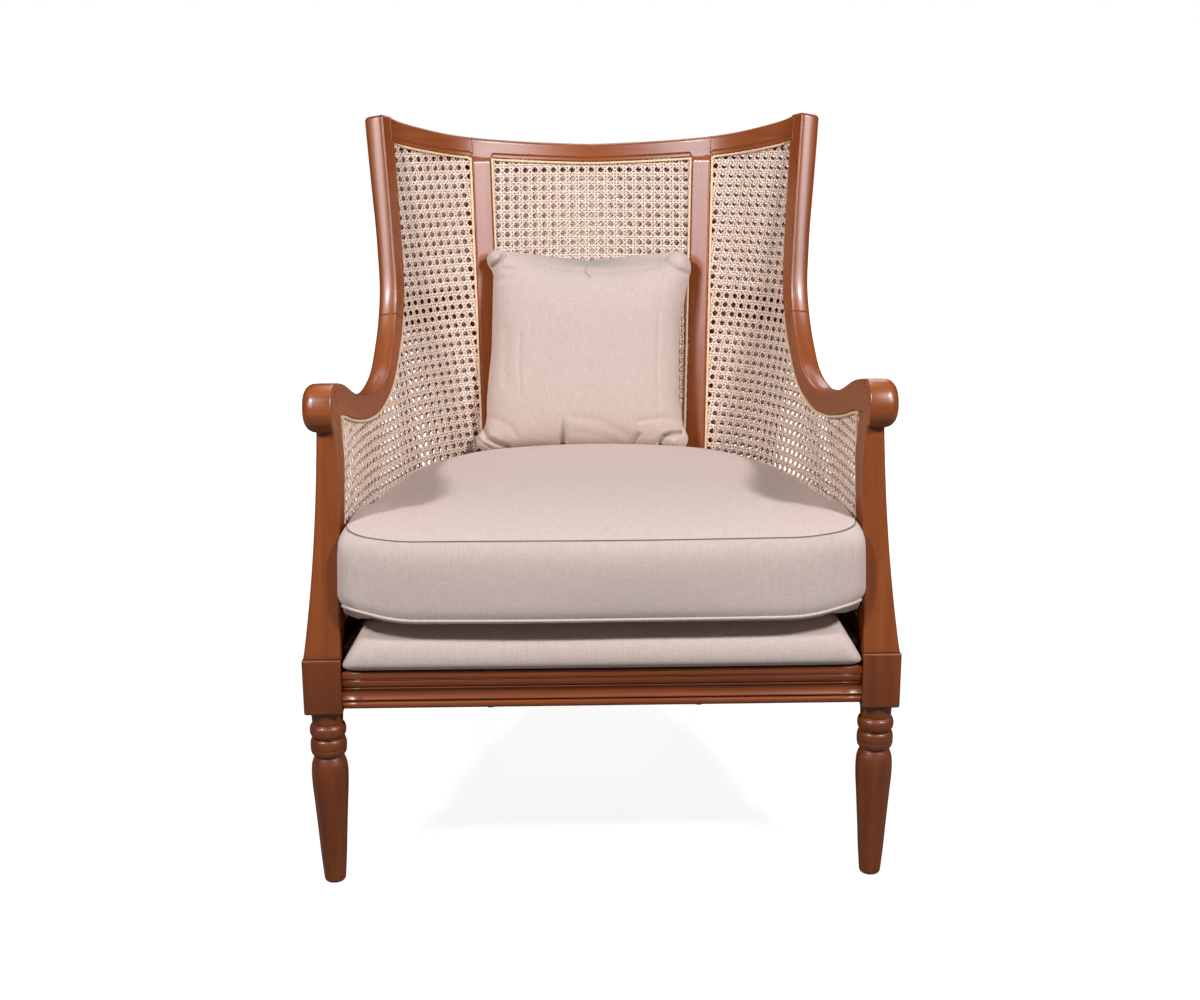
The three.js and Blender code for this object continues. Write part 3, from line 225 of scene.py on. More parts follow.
stile_way, stile_half = 1 / 6, 14.5
crest_low, crest_rise, crest_high, crest_more = 886, 33, 26, 7
post_foot_rear, post_rear_lean = 46, 18


def bow(way):
    """A power of the way that grows from 0 in the middle of the crest to about 1 at its corners."""
    return (np.abs(way) / 0.45) ** 1.4


def crest_under(way):
    """The underside of the crest rises towards the corners."""
    return crest_low + crest_rise * bow(way)


def crest_over(way):
    """The top of the crest rises a little more."""
    return crest_under(way) + crest_high + crest_more * bow(way)


def stile_edge(z, side, into=0.0, out=0.0):
    """The way of a stile's edge at a height: side 1 is its outer edge, -1 its inner one."""
    way, z, out = spread(stile_way, z, out)
    edge = wall_point(way, z, out) + wall_step(way, z)[0] * side * (stile_half - into)
    return way_of(edge, way)


def post_rear(z):
    """Depth of the rear face of the arm post."""
    return post_foot_rear + post_rear_lean * (z - level_low) / (roll_height - level_low)


wing_joint = 675.0
joint_station = station_at_height(wing_joint)
print("wing joint at station", round(joint_station, 4), "roll at", np.round(arm_at(1.0), 3))

# %% [markdown]
# ## Surfaces
# A bar of wood is a section carried along a line; a turned piece is a profile carried round an axis. Both
# come down to rings of points, joined to a closed skin. Each point also keeps its place in the plank
# (across, through, along), so that the grain can follow a bend and show end grain at the ends.

# %% Rings to closed skins


def facing_out(points, quads, tris):
    """The faces of a closed skin, turned round if the volume that they enclose comes out negative."""
    faces = np.vstack([quads[:, :3], quads[:, [0, 2, 3]], tris])
    a, b, c = (points[faces[:, k]] - points.mean(0) for k in range(3))
    if (a * np.cross(b, c)).sum() < 0:
        return quads[:, ::-1], tris[:, ::-1]
    return quads, tris


def shell(rings, marks, wrap=False):
    """A closed skin over m rings of n points: quads between neighbouring rings, and a fan over each end."""
    m, n = rings.shape[:2]
    points, marks = rings.reshape(-1, 3), marks.reshape(-1, 3)
    i, j = np.meshgrid(np.arange(m if wrap else m - 1), np.arange(n), indexing="ij")
    at = lambda a, b: (a % m) * n + b % n
    quads = np.stack([at(i, j), at(i, j + 1), at(i + 1, j + 1), at(i + 1, j)], -1).reshape(-1, 4)
    tris = np.zeros((0, 3), int)
    if not wrap:
        j = np.arange(n)
        points = np.vstack([points, rings[0].mean(0), rings[-1].mean(0)])
        marks = np.vstack([marks, marks[:n].mean(0), marks[-n:].mean(0)])
        first = np.stack([at(0, j + 1), at(0, j), np.full(n, m * n)], -1)
        last = np.stack([at(m - 1, j), at(m - 1, j + 1), np.full(n, m * n + 1)], -1)
        tris = np.vstack([first, last])
    return points, *facing_out(points, quads, tris), marks


def round_section(low, high, near, far, radii, inset=0.0, steps=4, hold=1.2, sides=(1, 1, 1, 1)):
    """A rectangle with rounded corners, as (across, out) pairs: an arc at each corner, and a point a
    little before and after it, which keep the flats flat."""
    low, high, near, far, inset = spread(low, high, near, far, inset)
    low, high = low + inset * sides[0], high - inset * sides[1]
    near, far = near + inset * sides[2], far - inset * sides[3]
    corners = ((high, near, 1, -1), (high, far, 1, 1), (low, far, -1, 1), (low, near, -1, -1))
    edges = np.array([(1, 0), (0, 1), (-1, 0), (0, -1)])
    rows = []
    for k, (a, o, side_a, side_o) in enumerate(corners):
        r = np.maximum(radii[k] - inset, 0.3)
        angle = np.radians(90 * k - 90 + np.linspace(0, 90, steps + 1))
        centre = np.stack([a - side_a * r, o - side_o * r], -1)[:, None]
        arc = centre + r[:, None, None] * np.stack([np.cos(angle), np.sin(angle)], -1)
        rows += [arc[:, :1] - hold * edges[k], arc, arc[:, -1:] + hold * edges[(k + 1) % 4]]
    return np.concatenate(rows, 1)


def lengths(points):
    """How far each point lies along its line."""
    return np.concatenate([[0], np.cumsum(np.linalg.norm(np.diff(points, axis=0), axis=1))])


def bar(frames, section, start=0.0, end=0.0, turns=4):
    """A section carried along frames, with its ends rounded over: near an end the section shrinks as
    the radius times one minus the cosine, while it moves on as the radius times the sine."""
    origin, across, out, along = (np.asarray(f, float) for f in frames)
    m = len(origin)
    angle = np.radians(np.linspace(90, 0, turns + 1))

    def rim(radius):
        if radius == 0:
            return np.zeros(1), np.zeros(1)
        shift, inset = radius * (1 - np.sin(angle)), radius * (1 - np.cos(angle))
        return np.r_[0, shift], np.r_[radius + 1.2, inset]

    (shift_a, inset_a), (shift_b, inset_b) = rim(start), rim(end)
    index = np.r_[np.zeros(len(shift_a), int), np.arange(1, m - 1), np.full(len(shift_b), m - 1)]
    shift = np.r_[shift_a, np.zeros(m - 2), -shift_b[::-1]]
    inset = np.r_[inset_a, np.zeros(m - 2), inset_b[::-1]]
    places = section(index, inset)
    base = origin[index] + along[index] * shift[:, None]
    rings = base[:, None] + places[..., :1] * across[index][:, None] + places[..., 1:] * out[index][:, None]
    run = np.broadcast_to(lengths(base)[:, None, None], places.shape[:2] + (1,))
    return shell(rings, np.concatenate([places, run], -1))


def band(ways, section):
    """A rail along the wall: at each way the section's (out, height) pairs are wall points."""
    rings = wall_point(ways[:, None], section[..., 1], section[..., 0])
    run = lengths(on_wall(ways, section[:, 0, 1].mean()))
    run = np.broadcast_to(run[:, None, None], section.shape[:2] + (1,))
    return shell(rings, np.concatenate([section, run], -1))


def turned(profile, centre, axis, spoke, sides=64):
    """A profile of (radius, height) pairs carried round an axis."""
    axis, spoke = np.array(axis, float), np.array(spoke, float)
    other = np.cross(axis, spoke)
    angle = np.linspace(0, 2 * np.pi, sides, endpoint=False)
    radius, height = profile[:, :1], np.broadcast_to(profile[:, 1:], (len(profile), sides))
    a, b = radius * np.cos(angle), radius * np.sin(angle)
    rings = np.array(centre, float) + a[..., None] * spoke + b[..., None] * other + height[..., None] * axis
    return shell(rings, np.stack([a, b, height], -1))


def mirrored(part):
    """The same skin on the other side of the chair."""
    points, quads, tris, marks = part
    return points * (-1, 1, 1), quads[:, ::-1], tris[:, ::-1], marks


def put(name, parts, material, node, seed=0, body="frame", extra=None):
    """Puts skins into one mesh object, with each point's place in the plank as the attribute grain, gives it
    its finish, ties it to its body and hides the CAD node that it stands for."""
    starts = np.cumsum([0] + [len(p[0]) for p in parts])
    points, marks = (np.vstack([p[k] for p in parts]) for k in (0, 3))
    quads, tris = (np.vstack([p[k] + s for p, s in zip(parts, starts)]) for k in (1, 2))
    mesh = bpy.data.meshes.new(name)
    mesh.vertices.add(len(points))
    mesh.vertices.foreach_set("co", ((points + (0, row_shift, 0)) * millimetre).astype(np.float32).ravel())
    corners = np.concatenate([quads.ravel(), tris.ravel()]).astype(np.int32)
    mesh.loops.add(len(corners))
    mesh.loops.foreach_set("vertex_index", corners)
    mesh.polygons.add(len(quads) + len(tris))
    begins = np.concatenate([np.arange(len(quads)) * 4, len(quads) * 4 + np.arange(len(tris)) * 3])
    mesh.polygons.foreach_set("loop_start", begins.astype(np.int32))
    mesh.update(calc_edges=True)
    mesh.polygons.foreach_set("use_smooth", np.ones(len(quads) + len(tris), bool))
    away = np.array([0.37, 0.71, 0.53]) * seed
    grain = mesh.attributes.new("grain", "FLOAT_VECTOR", "POINT")
    grain.data.foreach_set("vector", (marks * millimetre + away).astype(np.float32).ravel())
    for key, values in (extra or {}).items():
        mesh.attributes.new(key, "FLOAT", "POINT").data.foreach_set("value", values.astype(np.float32))
    mesh.materials.append(material)
    thing = bpy.data.objects.new(name, mesh)
    bpy.context.scene.collection.objects.link(thing)
    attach(thing, body)
    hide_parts(node)
    return thing


def put_pair(name, parts, material, node, seed):
    """A piece on the right side and its mirror image on the left."""
    put(f"{name}_right", parts, material, f"{node}_right", seed)
    put(f"{name}_left", [mirrored(p) for p in parts], material, f"{node}_left", seed + 0.5)


# %% [markdown]
# ## Finishes
# The wood is a red brown hardwood under a satin lacquer. Its figure is noise stretched along the plank, with
# fine pores on top. All finishes are worked out from a point's own place, so none needs a picture.

# %% Materials


def paint(red, green, blue):
    """A colour as the eye reads it (0 to 255), as light values."""
    value = np.array([red, green, blue]) / 255
    return (*np.where(value <= 0.04045, value / 12.92, ((value + 0.055) / 1.055) ** 2.4), 1.0)


def feed(tree, node, inputs):
    """Sets a node's inputs to values, or links them to the sockets that feed them."""
    for key, value in inputs.items():
        if isinstance(value, bpy.types.NodeSocket):
            tree.links.new(value, node.inputs[key])
        else:
            node.inputs[key].default_value = value


def add(tree, kind, inputs=None, **settings):
    """Adds a shader node with its own settings, and feeds its inputs."""
    node = tree.nodes.new(kind)
    for key, value in settings.items():
        setattr(node, key, value)
    feed(tree, node, inputs or {})
    return node


def reckon(tree, operation, *values):
    """A sum with numbers or sockets."""
    return add(tree, "ShaderNodeMath", dict(enumerate(values)), operation=operation).outputs[0]


def noise(tree, place, stretch, detail, **more):
    """Noise over a place that is stretched along its three axes."""
    scaled = add(tree, "ShaderNodeMapping", {"Vector": place, "Scale": stretch}).outputs["Vector"]
    inputs = {"Vector": scaled, "Scale": 1.0, "Detail": detail, **more}
    return add(tree, "ShaderNodeTexNoise", inputs).outputs["Fac"]


def shaded(tree, factor, colour, by):
    """A colour multiplied by another, as far as the factor says."""
    inputs = {"Factor": factor, "A": colour, "B": by}
    return add(tree, "ShaderNodeMix", inputs, data_type="RGBA", blend_type="MULTIPLY").outputs["Result"]


def relief(tree, height, strength, distance):
    """The direction of a surface with a fine relief."""
    inputs = {"Height": height, "Strength": strength, "Distance": distance}
    return add(tree, "ShaderNodeBump", inputs).outputs["Normal"]


def ramp(tree, value, stops):
    """A colour ramp with the stops (place, colour)."""
    node = add(tree, "ShaderNodeValToRGB", {"Fac": value})
    first, last = node.color_ramp.elements[0], node.color_ramp.elements[1]
    first.position, first.color = stops[0]
    last.position, last.color = stops[-1]
    for place, colour in stops[1:-1]:
        node.color_ramp.elements.new(place).color = colour
    return node.outputs["Color"]


def finish_of(name):
    """A new material, its node tree and its main shader."""
    material = bpy.data.materials.new(name)
    material.use_nodes = True
    return material, material.node_tree, material.node_tree.nodes["Principled BSDF"]


def wood(name, dark, middle, light, roughness, coat):
    """Lacquered hardwood: slow figure, fine pores and a satin coat. The gloss fades where the surface is
    seen from the side, because the open pores of a rubbed finish break up a flat reflection."""
    material, tree, shader = finish_of(name)
    place = add(tree, "ShaderNodeAttribute", attribute_name="grain").outputs["Vector"]
    figure = noise(tree, place, (55, 55, 2.6), 4.0, Distortion=0.8)
    pores = noise(tree, place, (900, 900, 22), 2.0)
    colour = ramp(tree, figure, [(0.3, paint(*dark)), (0.5, paint(*middle)), (0.72, paint(*light))])
    streak = ramp(tree, pores, [(0.3, (0.8, 0.8, 0.8, 1)), (0.55, (1, 1, 1, 1))])
    aside = add(tree, "ShaderNodeLayerWeight").outputs["Facing"]
    coat_gloss, wood_gloss = (add(tree, "ShaderNodeMapRange", {
        "Value": aside, "From Min": 0.5, "From Max": 0.86, "To Min": level, "To Max": 0.1 * level,
    }).outputs["Result"] for level in (coat, 0.4))
    feed(tree, shader, {
        "Base Color": shaded(tree, 0.6, colour, streak), "Normal": relief(tree, pores, 0.06, 0.0004),
        "Roughness": roughness, "Specular IOR Level": wood_gloss,
        "Coat Weight": coat_gloss, "Coat Roughness": 0.2,
    })
    return material


frame_wood = wood("frame_wood", (136, 67, 26), (153, 78, 31), (166, 88, 38), 0.36, 0.35)
rail_wood = wood("rail_wood", (114, 53, 17), (132, 63, 22), (145, 73, 28), 0.36, 0.35)
leg_wood = wood("leg_wood", (108, 50, 15), (124, 59, 19), (137, 68, 25), 0.42, 0.25)
brace_wood = wood("brace_wood", (62, 27, 14), (78, 36, 18), (92, 44, 22), 0.6, 0.0)
plain_wood = wood("plain_wood", (140, 96, 58), (166, 120, 78), (182, 138, 96), 0.6, 0.0)


def cane_finish(name, dark, light):
    """Split cane: a pale skin, each strand with its own tone and faint streaks along it."""
    material, tree, shader = finish_of(name)
    tone = add(tree, "ShaderNodeAttribute", attribute_name="tone").outputs["Fac"]
    place = add(tree, "ShaderNodeTexCoord").outputs["Object"]
    spots = add(tree, "ShaderNodeTexNoise", {"Vector": place, "Scale": 90.0, "Detail": 3.0}).outputs["Fac"]
    mean = reckon(tree, "MULTIPLY", reckon(tree, "ADD", tone, spots), 0.5)
    colour = ramp(tree, mean, [(0.2, paint(*dark)), (0.75, paint(*light))])
    feed(tree, shader, {"Base Color": colour, "Roughness": 0.45})
    return material


cane = cane_finish("cane", (240, 200, 178), (255, 235, 221))
# Painted light: the outer sheets are the same cane made paler, because they lie in the shade of the inner
# sheets and show only through the holes.
outer_cane_painted_light = cane_finish("outer_cane_painted_light", (246, 228, 214), (255, 247, 240))
spline_cane = cane_finish("spline_cane", (228, 186, 140), (248, 222, 190))


# The colour of the painted shade at the bottom of seams and creases.
painted_shade_colour = (0.22, 0.16, 0.15, 1)


def cloth_finish(name, dark, light, scale=1.0):
    """Plain woven cloth: threads of uneven thickness (slubs) both ways, as colour and as relief. A point
    attribute paints shade into the bottom of seams and creases."""
    material, tree, shader = finish_of(name)
    place = add(tree, "ShaderNodeTexCoord").outputs["Object"]
    stretches = [(x * scale, y * scale, y * scale) for x, y in ((70, 1900), (1900, 70))]
    threads = [noise(tree, place, stretch, 2.0) for stretch in stretches]
    mean = reckon(tree, "MULTIPLY", reckon(tree, "ADD", *threads), 0.5)
    # Painted shade of seams and creases: a point attribute from 0 to 1 that darkens the cloth.
    painted_seam_shade = add(tree, "ShaderNodeAttribute", attribute_name="painted_seam_shade").outputs["Fac"]
    colour = ramp(tree, mean, [(0.34, paint(*dark)), (0.62, paint(*light))])
    feed(tree, shader, {
        "Base Color": shaded(tree, painted_seam_shade, colour, painted_shade_colour), "Normal": relief(tree, mean, 0.25, 0.0006),
        "Roughness": 0.95, "Specular IOR Level": 0.2, "Sheen Weight": 0.15,
    })
    return material


linen = cloth_finish("linen", (198, 178, 171), (217, 200, 193))
jute = cloth_finish("jute", (140, 108, 70), (176, 142, 98), 0.4)
cambric = cloth_finish("cambric", (30, 27, 26), (44, 40, 38), 0.5)
steel, tree, shader = finish_of("steel")
feed(tree, shader, {"Base Color": paint(168, 168, 166), "Metallic": 1.0, "Roughness": 0.35})
for node_name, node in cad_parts.items():
    finish = steel if "screw" in node_name else brace_wood if "wing_brace" in node_name else plain_wood
    for node_slot in node.material_slots:
        node_slot.material = finish
print("finishes", len(bpy.data.materials))

# %% [markdown]
# ## Front legs
# Each leg is turned from the same square blank as its block: two rings, a groove between them with a fine
# incised line in the lower ring, and a long vase that tapers to a small foot. The profile is a smooth curve
# for the vase and half rounds for the rings.

# %% Turned legs with their blocks
leg_height, block_top, block_x, block_y, block_half = 234.0, 306.0, 345.0, 25.0, 25.0
block_in, block_edge = -22.8, 3.0
vase = np.array([
    (13.6, 4.5), (16.3, 37), (18.4, 72), (20.7, 107), (22.5, 132), (23.0, 149), (22.2, 161), (20.2, 168),
    (18.5, 172),
])


def leg_profile():
    """Radius and height from the floor up: a rounded foot, the vase, a ring with an incised line, a
    groove, a second ring and the neck. A ring is its middle plus a cosine of the height."""
    foot = np.array([(8.5, 0), (9.2, 0.02), (11.6, 0.7), (13.0, 2.2)])
    padded = np.vstack([2 * vase[0] - vase[1], vase, 2 * vase[-1] - vase[-2]])
    body = through(padded, np.linspace(0, len(vase) - 1, 60))
    angle = np.linspace(-np.pi / 2, np.pi / 2, 36)
    lower_z = 186.0 + 11.2 * np.sin(angle)
    lower = 18.0 + 4.8 * np.cos(angle) ** 0.62 - 0.9 * np.exp(-((lower_z - 183.8) / 0.75) ** 2)
    upper_z = 207.2 + 8.3 * np.sin(angle[::2])
    upper = 17.8 + 5.0 * np.cos(angle[::2]) ** 0.75
    neck = np.array([(19.0, 216.4), (19.4, 219), (19.5, 224), (20.0, 229), (21.0, 232.5), (21.6, 236)])
    rings = [np.column_stack([lower, lower_z]), np.column_stack([upper, upper_z])]
    return np.vstack([foot, body, [(18.1, 173.2)], *rings, neck])


def upright(points):
    """Frames for a straight upright bar: across is x, out is y and along is z."""
    return points, *(np.tile(direction, (len(points), 1)) for direction in np.eye(3))


def leg_block():
    """A nearly square block with softened edges."""
    points = np.array([(block_x, block_y, z) for z in (leg_height, (leg_height + block_top) / 2, block_top)])
    shape = lambda index, inset: round_section(
        block_in, block_half, -block_half, block_half, (block_edge,) * 4, inset)
    return bar(upright(points), shape, start=block_edge, end=block_edge)


leg_parts = [turned(leg_profile(), (block_x, block_y, 0), (0, 0, 1), (1, 0, 0), 72), leg_block()]
put_pair("turned_leg", leg_parts, leg_wood, "front_leg", 1)
print("leg points", sum(len(p[0]) for p in leg_parts))

# %% [markdown]
# ## Arm posts
# The post stands on the block, set in a little all round, flares outward to its foot and leans in with the
# wall. Its head goes into the underside of the arm.

# %% Arm posts
post_thick, post_flare, flare_power = 27, 18, 2.2
post_front, post_front_lean, post_depth, post_depth_more = 2, 6, 49.5, 15.5


def arm_post():
    """Upright rings whose inner face is the wall and whose thickness grows towards the foot by a power
    of the height."""
    z = np.linspace(306.2, 600, 40)
    rise = (z - level_low) / (roll_height - level_low)
    inner = on_wall(1, z)[:, 0] + roll_out * eased(z, 540, 596)
    outer = on_wall(1, z)[:, 0] + post_thick + post_flare * (1 - rise) ** flare_power
    front, rear = post_front + post_front_lean * rise, post_depth + post_depth_more * rise
    points = np.column_stack([0 * z, 0 * z, z])
    shape = lambda index, inset: round_section(
        inner[index], outer[index], front[index], rear[index], (4, 4, 4, 2.5), inset)
    return bar(upright(points), shape, start=1.5)


put_pair("post", [arm_post()], frame_wood, "arm_post", 2)

# %% [markdown]
# ## Arms and wings
# The bar is rounded over on its outer edge and keeps a crisp inner edge, which a fine groove sets off: that
# edge is the thin bright line that runs down the inside of both wings. The arm widens into the roll.

# %% Arms, wings and rolls
free_round, inner_round, cane_round, groove_in, groove_deep = 9.0, 2.0, 1.2, 4.6, 0.8
groove_places, groove_depths = np.array([1.1, 0.55, 0.0, -0.55, -1.1]), np.array([0, 0.6, 1, 0.6, 0])
corner_steps = 6
roll_level, roll_swell, dip_swell, horn_out = 616.8, 13.6, 4.5, 3.5
volute_radius, volute_deep = 18.6, 1.4


def bent_bar(first, final, count, sides=(1, 1, 1, 1), rise=0.0, **ends):
    """The bar between two stations of the arm line. Its free side swells towards the roll, and has a
    fine groove beside its inner edge."""
    station = np.linspace(first, final, count)
    origin, across, out, along, near, far, _ = arm_frame(station)
    origin[0] -= along[0] * rise
    swell = roll_swell * (1 - eased(origin[:, 1] - roll_centre_y, -12, 235))
    swell = swell + dip_swell * np.exp(-((station - 0.68) / 0.1) ** 2)
    far = far + horn_out * (1 - eased(station, 0, 0.16))

    def shape(index, inset):
        radii = (cane_round, 3.0, free_round + 5 * swell[index] / roll_swell, inner_round)
        free = -bar_half - swell[index]
        section = round_section(
            free, bar_half, near[index], far[index], radii, inset, corner_steps, sides=sides)
        at = 3 * (corner_steps + 3)
        edge = near[index] + inset * sides[2] + groove_in
        deep = (free + inset * sides[0])[:, None] + groove_deep * groove_depths * (inset[:, None] < 6)
        groove = np.stack([deep, edge[:, None] + groove_places], -1)
        return np.concatenate([section[:, :at], groove, section[:, at:]], 1)

    return bar((origin, across, out, along), shape, **ends)


roll_from = float(on_wall(arm_ways[-1], roll_height)[0]) + roll_out


def roll():
    """A barrel across the end of the arm: a softened inner edge, and an outer end that is rounded over.
    The front half of its inner face is cut with a volute: a groove round a radius that shrinks as it
    turns from top to bottom."""
    small, big = 3.6, 15.0
    turn = np.radians(np.linspace(0, 90, 7))
    inner = np.column_stack([roll_radius - small + small * np.sin(turn), small - small * np.cos(turn)])
    outer = np.column_stack([roll_radius - big + big * np.cos(turn), roll_width - big + big * np.sin(turn)])
    face = np.array([(r, 0) for r in np.r_[0.6, 6.0, np.arange(11, roll_radius - small - 0.4, 0.6)]])
    profile = np.vstack([face, inner, (roll_radius, 10), outer, (9, roll_width)])
    centre = (roll_from, roll_centre_y, roll_level)
    points, quads, tris, marks = turned(profile, centre, (1, 0, 0), (0, 1, 0), 120)
    angle = np.degrees(np.arctan2(marks[:, 1], -marks[:, 0]))
    line = volute_radius - 3.0 * eased(-angle, -60, 120)
    cut = np.exp(-((np.hypot(marks[:, 0], marks[:, 1]) - line) / 1.15) ** 2) * (marks[:, 2] < 0.01)
    points[:, 0] += volute_deep * cut * eased(118 - np.abs(angle), 0, 22)
    return points, quads, tris, marks


arm_parts = [bent_bar(joint_station, 1.0, 150), roll()]
put_pair("arm_scroll", arm_parts, frame_wood, "arm", 3)
wing_part = bent_bar(
    0.0, joint_station - 0.0004, 110, start=5.4, turns=8, sides=(1, 0.4, 0.6, 1.3), rise=4.2)
put_pair("wing", [wing_part], frame_wood, "wing_post", 4)
print("roll from", round(roll_from, 1), "to", round(roll_from + roll_width, 1))

# %% [markdown]
# ## Crest, stiles and rails
# The crest is sawn from a curved plank. Above each cane panel a narrow strip is cut back, and it ends in a
# quarter round at the stiles. The stiles run on below the seat as the rear legs.

# %% Crest rail
strip_high, strip_deep, crest_round = 6.0, 1.7, 4.5
end_in_bar = 0.0096


def crest(start, stop, count, panel):
    """Rings of (out, height) round the crest. The strip's height follows a quarter circle near the ends
    of the panel, and its depth fades out with it."""
    ways = np.linspace(start, stop, count)
    under, over = crest_under(ways), crest_over(ways) + 1.9 * eased(np.abs(ways), 0.4, 0.465)
    per_way = wall_step(ways, under)[1]
    inside = np.minimum(ways - panel[0], panel[1] - ways) * per_way
    share = np.clip(inside / strip_high, 0, 1)
    high = 0.3 + (strip_high - 0.3) * np.sqrt(1 - (1 - share) ** 2)
    deep = strip_deep * eased(inside, 0.2, 2.4)
    turn = np.radians(np.linspace(0, 90, 7))
    front = [(deep + 0.5, under)] + [(deep, under + s * high) for s in (0.1, 0.3, 0.6, 0.86)]
    front += [(s * deep, under + high + up) for s, up in ((0.8, 0), (0.35, 0.35), (0, 1.1), (0, 2.4))]
    front += [(0 * deep, (under + over) / 2 + 2), (0 * deep, over - crest_round - 1.5)]
    front += [(crest_round * (1 - np.cos(a)) + 0 * deep, over - crest_round * (1 - np.sin(a))) for a in turn]
    back = [(wall_thick - out, z) for out, z in front[::-1]]
    section = np.stack([np.stack([out, z], -1) for out, z in front + back], 1)
    return band(ways, section)


crest_joint = float(stile_edge(crest_under(stile_way), 1))
stile_inner = float(stile_edge(crest_under(stile_way), -1))
crest_end = float(way_past(0.468, 935, 7.0 - bar_half))
middle_part = crest(-crest_joint, crest_joint, 240, (-stile_inner, stile_inner))
side_part = crest(crest_joint, crest_end, 180, (crest_joint, crest_end - end_in_bar))
put("crest_middle", [middle_part], frame_wood, "crest_rail_middle", 5)
put_pair("crest_side", [side_part], frame_wood, "crest_rail", 6)

# %% Stiles with the rear legs
leg_rings, leg_rake = 40, (12.7, 125.0, 0)
foot_wider, foot_thicker = 11, 8


def back_post():
    """Rings up a curved line for the leg (a quadratic curve from foot to knee), then up the wall. The foot
    is raked far back, so that the front rail hides it from the camera."""
    tangent, _ = wall_step(stile_way, level_low)
    knee = wall_point(stile_way, 289.0, 19.0)
    lean = on_wall(stile_way, 289.0) - on_wall(stile_way, 159.0)
    foot = (knee + leg_rake) * (1, 1, 0)
    t = np.linspace(0, 1, leg_rings)[:, None]
    leg = foot * (1 - t) ** 2 + (knee - lean) * 2 * t * (1 - t) + knee * t**2
    top = float(crest_under(stile_way)) + 0.05
    z = np.concatenate([[300, 306.5], np.linspace(334.5, top, 60)])
    swollen = 1 - eased(z, 306.5, 334.5)
    wide, thick = stile_half * 2 + foot_wider * swollen, wall_thick + foot_thicker * swollen
    stile = wall_point(stile_way, z, thick / 2)
    origin = np.vstack([leg, stile])
    across = np.vstack([np.tile(tangent, (leg_rings, 1)), wall_step(stile_way, z)[0]])
    out = np.vstack([np.tile(outward(stile_way, level_low), (leg_rings, 1)), outward(stile_way, z)])
    along = unit(np.gradient(origin, axis=0))
    half_wide = np.concatenate([14 + 6 * t[:, 0], wide / 2])
    half_thick = np.concatenate([14 + 5 * t[:, 0], thick / 2])
    edge = np.concatenate([np.full(leg_rings, 4.0), 4.0 - 1.8 * eased(z, 300, 340)])
    shape = lambda index, inset: round_section(
        -half_wide[index], half_wide[index], -half_thick[index], half_thick[index],
        (edge[index],) * 4, inset)
    return bar((origin, across, out, along), shape, start=3.0)


put_pair("stile_leg", [back_post()], frame_wood, "back_post", 7)

# %% Rails


def rail(start, stop, count, near, far, low, high, radii=(2.5,) * 4):
    """A plain rail along the wall with softened edges."""
    return band(np.linspace(start, stop, count), round_section(np.full(count, near), far, low, high, radii))


for name, node, rear_name, rear_node, level, from_stile, front_y, section, seed in (
        ("seat_rail_side", "side_rail", "seat_rail_back", "back_rail", 267.0, 18.0, 48.5,
         (5, 33, 245, 289), 8),
        ("panel_rail", "panel_rail_side", "panel_rail_rear", "panel_rail_back", 320.0, 14.0, 45.0,
         (0, 30, 306.5, 334.5), 10)):
    inner_way, outer_way = (float(way_past(stile_way, level, away)) for away in (-from_stile, from_stile))
    front_way = float(way_at_depth(front_y, level))
    put_pair(name, [rail(outer_way, front_way, 70, *section)], frame_wood, node, seed)
    put(rear_name, [rail(-inner_way, inner_way, 40, *section)], frame_wood, rear_node, seed + 1)


def moulded_rail():
    """The front rail's moulding, straight across: a flat band, a fine bead, a second band, a quirk, a
    shallow cove whose depth is a sine of the height, and a foot bead. Depths are measured back from the
    front plane."""
    rail_x, front = 322.6, 3.0
    half = np.radians(np.linspace(-90, 90, 11))
    bead_foot = [(4.0 - 3.6 * math.cos(a), 245.0 + 4.5 * math.sin(a)) for a in half]
    cove = [(1.6 + 3.4 * math.sin(math.pi * s) ** 0.9, 252.2 + 14.6 * s) for s in np.linspace(0, 1, 15)]
    bead = [(2.6 - 2.1 * math.cos(a), 278.6 + 0.9 * math.sin(a)) for a in half]
    outline = bead_foot + [(4.8, 250.0), (4.6, 251.0), (2.0, 251.6)] + cove
    outline += [(1.3, 267.4), (1.3, 267.8), (1.9, 268.2), (4.4, 268.5), (4.6, 269.2), (1.6, 269.6)]
    outline += [(1.0, 270.1), (1.0, 276.4), (1.3, 277.1), (2.8, 277.5)] + bead
    outline += [(2.8, 279.7), (0.4, 280.0), (0, 280.5), (0, 281.4), (0, 286.5), (0.45, 288.1), (1.6, 289)]
    outline = np.array(outline + [(26, 289), (28, 287), (28, 247), (26, 245)])
    x = np.linspace(-rail_x, rail_x, 25)
    rings = np.stack(spread(x[:, None], front + outline[:, 0], outline[:, 1]), -1)
    return shell(rings, rings[..., [1, 2, 0]])


put("moulded_rail", [moulded_rail()], rail_wood, "front_rail", 12)

# %% [markdown]
# ## Cane panels
# Six way cane: pairs of strands run up and across, and single strands run along both diagonals. The
# diagonals cross in the middle of each side of a cell, so that every cell keeps a hole with eight sides.
# Each bay has a sheet on the inner face and one on the outer face, and the two together give the moving
# pattern of light and dark holes.

# %% Outlines of the bays
panel_low = 334.5
foot_count, front_count, arm_count, head_count, stile_count = 90, 50, 150, 40, 110
corner_station = station_at_height(float(crest_under(0.468)))


def joined(*runs):
    """A closed line from runs of ways and heights, each without its last point."""
    ways, heights = zip(*(spread(*run) for run in runs))
    return [np.concatenate([values[:-1] for values in column]) for column in (ways, heights)]


def middle_outline(grow, out):
    """The edge of the middle bay as ways and heights, from the lower left corner round to the right."""
    side_z = np.linspace(panel_low - grow, float(crest_under(stile_inner)) + grow, stile_count)
    edge = stile_edge(side_z, -1, grow, out)
    over = np.linspace(edge[-1], -edge[-1], 60)
    return joined((np.linspace(-edge[0], edge[0], 60), panel_low - grow), (edge, side_z),
                  (over, crest_under(over) + grow), (-edge[::-1], side_z[::-1]))


